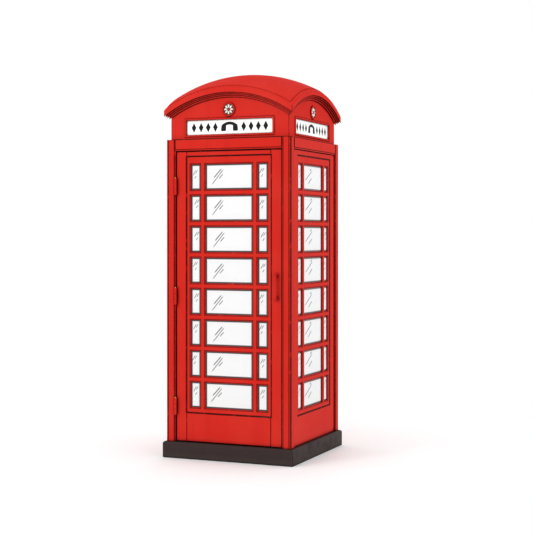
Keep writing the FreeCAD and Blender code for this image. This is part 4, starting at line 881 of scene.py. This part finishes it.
# %% [markdown]
# ## The signs
#
# Lit glass under the roof tells people from afar what the kiosk is for. No words are used here:
# a handset stands in the middle of each sign, with a row of lozenges to either side. They are
# black enamel fired onto the glass, so each mark is a thin plate, and the lozenges have eased
# edges. One sign is drawn for the front and turned by quarters for the other three sides.

# %% Sign marks
MARK_THICK = 0.5 * MM
MARK_EASE = 0.15 * MM
HANDSET_DROP = 5 * MM
LOZENGE = [(0, -31), (17, 0), (0, 31), (-17, 0)]
LOZENGES = 4
LOZENGE_PITCH = 51 * MM
FIRST_LOZENGE = 100 * MM
ENAMEL_BLACK = rgb(14, 13, 14)
ENAMEL_PITS = rgb(34, 32, 32)


def handset_outline():
    """A handset lying on its two cups, seen from the side, 120 wide and 64 tall."""
    top = arc(0, -44, 82, 47, 133)
    left_cup = arc(-52, -14, 8, 180, 270, 4) + arc(-32, -14, 8, 270, 360, 4)
    under = arc(0, -44, 63, 112, 68)
    right_cup = arc(32, -14, 8, 180, 270, 4) + arc(52, -14, 8, 270, 360, 4)
    return top + left_cup + under + right_cup


def fired_black():
    finish = Finish("fired_black_enamel", Specular_IOR_Level=0.15)
    pits = step(finish, clouds(finish, 220, 3), 0.5, 0.8)
    finish.set(Base_Color=over(finish, pits * 0.5, ENAMEL_BLACK, ENAMEL_PITS),
               Roughness=0.45 + 0.2 * pits, Normal=bump(finish, pits, 0.1 * MM, 0.4))
    return finish.material


def sign_marks():
    shape = bmesh.new()
    low, high = min(islands("sign_glasses"), key=lambda box: box[0].y)
    centre = Vector((0, low.y, (low.z + high.z) / 2 - HANDSET_DROP))
    front_plate(shape, handset_outline(), centre, MARK_THICK, 0)
    for side in (-1, 1):
        for n in range(LOZENGES):
            aside = Vector((side * (FIRST_LOZENGE + n * LOZENGE_PITCH), 0, HANDSET_DROP))
            front_plate(shape, LOZENGE, centre + aside, MARK_THICK, MARK_EASE)
    quarters(shape)
    piece("sign_marks", shape, "kiosk", "case_black", finish=[fired_black()])

sign_marks()
print("sign marks:", 4 * (1 + 2 * LOZENGES), "on four signs")

# %% [markdown]
# ## Turned shapes and petals
#
# Ornaments and screw heads are turned, or look it, so one helper spins a profile on its axis. The
# profile lists shares of a radius and of a depth, which lets one list serve any size. A petal is
# a cushion on a leaf-shaped plan, high along its middle and flat at its edge.

# %% Turning
def spin(shape, profile, centre, radius, proud, count):
    """Turns a profile of shares of a radius and a depth round a line out of the front."""
    rings = []
    for share, depth in profile:
        ring = []
        for n in range(count if share > 0 else 1):
            a = math.tau * n / count
            r = share * radius
            at = Vector((r * math.cos(a), -depth * proud, r * math.sin(a)))
            ring.append(shape.verts.new(centre + at))
        rings.append(ring)
    for inner, outer in zip(rings, rings[1:]):
        if len(inner) == 1 or len(outer) == 1:
            tip, ring = (inner[0], outer) if len(inner) == 1 else (outer[0], inner)
            for n in range(count):
                shape.faces.new([tip, ring[n], ring[(n + 1) % count]])
        else:
            bridge(shape, inner, outer, 1)


def petal(shape, centre, angle, start, length, half_width, height):
    """A leaf-shaped cushion that lies on the ground of a rosette, with blunt ends."""
    along, across, blunt, full = 8, 6, 0.03, 0.6
    rows = []
    for i in range(along + 1):
        s = i / along
        swell = math.sin(math.pi * (blunt + (1 - 2 * blunt) * s)) ** full
        crown = height * math.sqrt(max(0.0, math.sin(math.pi * s)))
        row = []
        for j in range(across + 1):
            t = 2 * j / across - 1
            u = start + length * s
            v = half_width * swell * t
            lift = crown * (1 - t * t)
            flat = Vector((u * math.cos(angle) - v * math.sin(angle), 0,
                           u * math.sin(angle) + v * math.cos(angle)))
            row.append(shape.verts.new(centre + flat - Vector((0, lift, 0))))
        rows.append(row)
    for first, second in zip(rows, rows[1:]):
        for j in range(across):
            shape.faces.new([first[j], first[j + 1], second[j + 1], second[j]])
    there = [row[0] for row in rows] + rows[-1][1:]
    back = [row[-1] for row in rows[-2::-1]] + rows[0][-2:0:-1]
    shape.faces.new(there + back)

print("profiles and petals stand out to the front, along -Y")

# %% [markdown]
# ## Rosettes
#
# A round boss sits above each sign. Its design here is a plain eight-petalled rosette: a rim and
# a button in the kiosk's red, petals picked out in cream, and the hollow ground between them in
# black, which is how relief on ironwork is painted so that it reads from the street.

# %% Rosettes
PETALS = 8
GROUND = 0.42
RIM = [(1, 0), (1, 0.55), (0.965, 0.8), (0.9, 0.86), (0.84, 0.8), (0.81, 0.5), (0.81, 0), (1, 0)]
BUTTON = [(0, 1), (0.08, 0.98), (0.15, 0.85), (0.185, 0.6), (0.185, 0.2), (0, 0.2)]
DISC = [(0, GROUND), (0.4, GROUND), (0.815, GROUND), (0.815, 0), (0, 0)]


def rosettes():
    low, high = min(islands("roof_ornaments"), key=lambda box: box[0].y)
    radius = (high.z - low.z) / 2
    proud = high.y - low.y
    centre = Vector((0, high.y, (low.z + high.z) / 2))
    rim, ground, leaves = bmesh.new(), bmesh.new(), bmesh.new()
    spin(rim, RIM, centre, radius, proud, 40)
    spin(rim, BUTTON, centre, radius, proud, 24)
    spin(ground, DISC, centre, radius, proud, 40)
    for n in range(PETALS):
        petal(leaves, centre - Vector((0, proud * GROUND, 0)), math.tau * n / PETALS,
              start=radius * 0.2, length=radius * 0.56, half_width=radius * 0.17,
              height=proud * GROUND)
    for name, shape, slot in (("rosette_rims", rim, "iron_red"),
                              ("rosette_grounds", ground, "case_black"),
                              ("rosette_petals", leaves, "white_enamel")):
        quarters(shape)
        for face in shape.faces:
            face.smooth = True
        made = piece(name, shape, "kiosk", slot, ["roof_ornaments"])
        made.modifiers.new("weighted", "WEIGHTED_NORMAL")
    return radius

print("rosettes", round(2 * rosettes() / MM), "mm across")

# %% [markdown]
# ## Screws
#
# A slotted screw has a low round head in two halves with a slot between them. Two D-shaped lands on
# a thin disc give exactly that. The slots are left at odd angles, as a fitter leaves them.

# %% Screws
SCREW_DISC = [(0, 0.1), (0.96, 0.1), (1, 0), (0, 0)]
SLOT_SHARE = 0.13
PROUD_SHARE = 0.42
LAND_SHARE = 0.95
EASE_SHARE = 0.22


def screw(shape, at, out, radius):
    """A slotted head that stands out of a surface at a place, along a direction."""
    made = bmesh.new()
    middle = Vector((0, 0, 0))
    slot = SLOT_SHARE * radius
    proud = PROUD_SHARE * radius
    spin(made, SCREW_DISC, middle, radius, proud, 20)
    for side in (0, 1):
        land = bmesh.new()
        start = math.degrees(math.asin(slot / radius))
        rim = arc(0, 0, LAND_SHARE * radius, start, 180 - start, 12)
        half = [(x / MM, y / MM) for x, y in rim]
        front_plate(land, half, middle, proud, EASE_SHARE * radius)
        bmesh.ops.rotate(land, verts=land.verts, matrix=Matrix.Rotation(side * math.pi, 3, "Y"))
        join_into(made, land)
    turn = Matrix.Rotation(hand.uniform(0, math.pi), 3, "Y")
    aim = Vector((0, -1, 0)).rotation_difference(Vector(out)).to_matrix()
    for vert in made.verts:
        vert.co = Vector(at) + aim @ (turn @ vert.co)
    bmesh.ops.recalc_face_normals(made, faces=made.faces)
    join_into(shape, made)


def join_into(shape, other):
    """Adds another shape's mesh to this one."""
    mesh = bpy.data.meshes.new("joined")
    other.to_mesh(mesh)
    other.free()
    shape.from_mesh(mesh)
    bpy.data.meshes.remove(mesh)


def screws(name, body, slot, places, out, radius):
    """One piece with a slotted head at each of the places."""
    shape = bmesh.new()
    for at in places:
        screw(shape, at, out, radius)
    piece(name, shape, body, slot)

print("a head stands", PROUD_SHARE, "of its radius proud")

# %% [markdown]
# ## Where the screws go
#
# Screws are set from the edges of what they hold. The frame gives each plate's box, and the rows
# are spaced evenly between its corners, so they follow if a plate changes size.

# %% Screw places
def evenly(first, last, count):
    """Numbers from first to last at equal steps."""
    return [first + (last - first) * n / (count - 1) for n in range(count)]

pull_low, pull_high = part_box("door_pull")
ROSE = (pull_high.x - pull_low.x) / 2
ROSE_THICK = 4 * MM
ROSE_SCREW = 9.5 * MM
KICK_INSET = 12 * MM
NOTICE_INSET = 9 * MM
SLOT_INSET = 7 * MM
rose_x = (pull_low.x + pull_high.x) / 2
rose_face = pull_high.y - ROSE_THICK
rose_places = [(rose_x + ROSE_SCREW * math.cos(a), rose_face, z + ROSE_SCREW * math.sin(a))
               for z in (pull_low.z + ROSE, pull_high.z - ROSE)
               for a in (0, math.pi)]
screws("door_pull_screws", "door", "iron_red", rose_places, (0, -1, 0), 2.6 * MM)

kick_low, kick_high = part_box("door_kick_plate")
kick_places = [(x, kick_high.y, z) for z in (kick_low.z + KICK_INSET, kick_high.z - KICK_INSET)
               for x in evenly(kick_low.x + KICK_INSET, kick_high.x - KICK_INSET, 6)]
screws("kick_plate_screws", "door", "brass", kick_places, (0, 1, 0), 3.5 * MM)

notice_low, notice_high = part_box("notice_frame")
notice_places = [(x, notice_low.y, z)
                 for z in (notice_low.z + NOTICE_INSET, notice_high.z - NOTICE_INSET)
                 for x in evenly(notice_low.x + NOTICE_INSET, notice_high.x - NOTICE_INSET, 4)]
screws("notice_frame_screws", "kiosk", "brass", notice_places, (0, -1, 0), 3.0 * MM)

slot_low, slot_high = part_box("coin_slot_plate")
slot_places = [(x, slot_low.y, z) for x in (slot_low.x + SLOT_INSET, slot_high.x - SLOT_INSET)
               for z in (slot_low.z + SLOT_INSET, slot_high.z - SLOT_INSET)]
screws("coin_slot_screws", "kiosk", "chrome", slot_places, (0, -1, 0), 2.4 * MM)
print("screws:", len(rose_places + kick_places + notice_places + slot_places))

# %% [markdown]
# ## The dial's numbers
#
# The plain figures 1 to 0 show through the finger holes. Each is a real glyph turned into a thin
# mesh and stood on the number plate. The frame's record says where every finger hole is, so the
# figures are centred there, and they stay still while the wheel turns over them.

# %% Dial numbers
FIGURE_HEIGHT = 8.5 * MM
FIGURE_THICK = 0.2 * MM
FIGURE_SHARE = 0.7
FINGER_HOLE = "dial_finger_hole_"


def dial_numbers():
    plate_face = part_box("dial_plate")[0].y
    upright = Matrix.Rotation(math.pi / 2, 4, "X")
    shape = bmesh.new()
    openings = frame["record"]["physics"]["openings"]
    holes = [gap for gap in openings if gap["name"].startswith(FINGER_HOLE)]
    for gap in holes:
        low, high = map(Vector, gap["box_m"])
        text = bpy.data.curves.new("figure", "FONT")
        text.body = str(int(gap["name"][len(FINGER_HOLE):]) % 10)
        text.size = FIGURE_HEIGHT / FIGURE_SHARE
        text.extrude = FIGURE_THICK
        text.resolution_u = 3
        text.align_x = "CENTER"
        text.align_y = "CENTER"
        drawn = bpy.data.objects.new("figure", text)
        mesh = bpy.data.meshes.new_from_object(drawn)
        middle = (low + high) / 2
        mesh.transform(Matrix.Translation((middle.x, plate_face, middle.z)) @ upright)
        shape.from_mesh(mesh)
        bpy.data.meshes.remove(mesh)
        bpy.data.objects.remove(drawn)
        bpy.data.curves.remove(text)
    bmesh.ops.remove_doubles(shape, verts=shape.verts, dist=WELD)
    bmesh.ops.recalc_face_normals(shape, faces=shape.faces)
    piece("dial_numbers", shape, "kiosk", "case_black")
    return len(holes)

print("dial numbers:", dial_numbers())

# %% [markdown]
# ## Card for the notices
#
# The notices are card that has yellowed in patches. They carry no words, only faint ruled lines.
# A wave that rises and falls with the height gives evenly spaced lines without an image.

# %% Card
RULE_PITCH = 9 * MM
PAPER = rgb(244, 240, 226)
FOXED = rgb(222, 208, 176)
RULE_INK = rgb(96, 100, 108)


def ruled_card():
    finish = Finish("ruled_card", Specular_IOR_Level=0.2)
    height = finish.node("ShaderNodeSeparateXYZ", sockets={0: place(finish)}, out=("Z",))[0]
    beat = finish.math("PINGPONG", height, RULE_PITCH / 2)
    line = 1 - step(finish, beat, 0.4 * MM, 0.8 * MM)
    foxing = step(finish, clouds(finish, 17, 4), 0.55, 0.8)
    colour = over(finish, foxing * 0.4, PAPER, FOXED)
    colour = over(finish, line * 0.55 * marked(finish, "written"), colour, RULE_INK)
    finish.set(Base_Color=colour, Roughness=0.75 + 0.1 * foxing,
               Normal=bump(finish, clouds(finish, 300, 3), 0.1 * MM, 0.5))
    return finish.material

print("card ruled every", round(RULE_PITCH / MM), "mm")

# %% [markdown]
# ## Notices
#
# A frame over the telephone holds three cards under its rim. Paper is never quite flat, so each
# card is a grid that bows a millimetre away from its panel, and a Solidify modifier gives it the
# thickness. The lines stop short of the edges, because the grid's outer points carry no mark.

# %% Notices
CARDS = 3
CARD_RIM = 24 * MM
CARD_GAP = 10 * MM
CARD_SEAT = 7 * MM
CARD_BOW = 1.2 * MM
CARD_THICK = 0.4 * MM


def cards():
    low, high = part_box("notice_frame")
    columns, rows = 8, 4
    width = (high.x - low.x - 2 * CARD_RIM - (CARDS - 1) * CARD_GAP) / CARDS
    shape = bmesh.new()
    written = shape.verts.layers.float.new("written")
    for n in range(CARDS):
        left = low.x + CARD_RIM + n * (width + CARD_GAP)
        grid = []
        for i in range(columns + 1):
            s = i / columns
            y = low.y + CARD_SEAT - CARD_BOW * math.sin(math.pi * s)
            line = []
            for j in range(rows + 1):
                z = low.z + CARD_RIM + (high.z - low.z - 2 * CARD_RIM) * j / rows
                vert = shape.verts.new((left + width * s, y, z))
                vert[written] = 1.0 if 0 < i < columns and 0 < j < rows else 0.0
                line.append(vert)
            grid.append(line)
        for first, second in zip(grid, grid[1:]):
            for j in range(rows):
                shape.faces.new([first[j], second[j], second[j + 1], first[j + 1]]).smooth = True
    made = piece("notice_cards", shape, "kiosk", "white_enamel", finish=[ruled_card()])
    body = made.modifiers.new("paper", "SOLIDIFY")
    body.thickness = CARD_THICK
    body.offset = -1
    return made

print("notice cards:", len(cards().data.polygons), "faces")

# %% [markdown]
# ## Finishes for the rest
#
# Every CAD node that keeps its own shape now gets the finish of its material slot from the record,
# so nothing is left in a plain colour.

# %% Finishes by slot
shown = [name for name in nodes if not nodes[name].hide_render]
for name in shown:
    nodes[name].data.materials.clear()
    nodes[name].data.materials.append(finishes[slot_of_node[name]])
print(len(shown), "nodes keep their own shape")

# %% [markdown]
# ## The studio floor
#
# A pale floor runs out into white. Near the kiosk it takes a soft shadow, and further off it turns
# by distance into the same white as the world, so no horizon shows.

# %% Studio floor
FLOOR_HALF = 30.0
FLOOR_SUNK = 0.5 * MM
FLOOR_NEAR = 0.8
FLOOR_FAR = 3.0
WHITE = (1, 1, 1, 1)
FLOOR_PALE = (0.97, 0.97, 0.97, 1)
FLOOR_SPECK = (0.94, 0.94, 0.94, 1)
WORLD_WHITE = 1.0


def studio_floor():
    finish = Finish("studio_floor", Roughness=0.8, Specular_IOR_Level=0.1)
    away = finish.node("ShaderNodeVectorMath", {"operation": "LENGTH"}, {0: place(finish)},
                       out="Value")
    blank = step(finish, away, FLOOR_NEAR, FLOOR_FAR)
    speck = clouds(finish, 60, 4)
    finish.set(Base_Color=over(finish, speck * 0.3, FLOOR_PALE, FLOOR_SPECK))
    white = finish.node("ShaderNodeEmission", sockets={"Color": WHITE, "Strength": WORLD_WHITE})
    lit = Wire(finish, finish.shader.outputs["BSDF"])
    mixed = finish.node("ShaderNodeMixShader", sockets={0: blank, 1: lit, 2: white})
    finish.tree.links.new(mixed.socket, finish.tree.nodes["Material Output"].inputs["Surface"])
    return finish.material


def floor():
    shape = bmesh.new()
    shape.faces.new([shape.verts.new((x * FLOOR_HALF, y * FLOOR_HALF, -FLOOR_SUNK))
                     for x, y in ((-1, -1), (1, -1), (1, 1), (-1, 1))])
    mesh = bpy.data.meshes.new("floor")
    shape.to_mesh(mesh)
    shape.free()
    mesh.materials.append(studio_floor())
    made = bpy.data.objects.new("floor", mesh)
    bpy.context.scene.collection.objects.link(made)

floor()
print("studio floor", 2 * FLOOR_HALF, "m wide")

# %% [markdown]
# ## The lamps
#
# The white world does most of the lighting, from everywhere. Three large soft lamps, at the front
# left, the right and the back, give the faces a slight difference and put a gleam on the rounded
# edges. The standard view keeps the reds as they are mixed.

# %% Lamps
def soft_lamp(name, bearing, distance, height, size, power):
    """A round lamp of that size, turned to the middle of the kiosk."""
    lamp = bpy.data.lights.new(name, "AREA")
    lamp.shape = "DISK"
    lamp.size = size
    lamp.energy = power
    made = bpy.data.objects.new(name, lamp)
    turn = math.radians(bearing)
    made.location = (distance * math.sin(turn), -distance * math.cos(turn), height)
    aim = Vector((0, 0, cad_high.z * 0.5)) - made.location
    made.rotation_euler = aim.to_track_quat("-Z", "Y").to_euler()
    bpy.context.scene.collection.objects.link(made)

soft_lamp("front_lamp", bearing=-28, distance=5.0, height=4.2, size=1.8, power=60)
soft_lamp("side_lamp", bearing=95, distance=5.0, height=3.6, size=1.6, power=24)
soft_lamp("back_lamp", bearing=190, distance=5.5, height=3.6, size=1.8, power=40)
world = bpy.data.worlds.new("white_studio")
world.use_nodes = True
sky = world.node_tree.nodes["Background"]
sky.inputs["Color"].default_value = WHITE
sky.inputs["Strength"].default_value = WORLD_WHITE
bpy.context.scene.world = world
bpy.context.scene.view_settings.view_transform = "Standard"
print("three soft lamps in a white world of strength", WORLD_WHITE)

# %% [markdown]
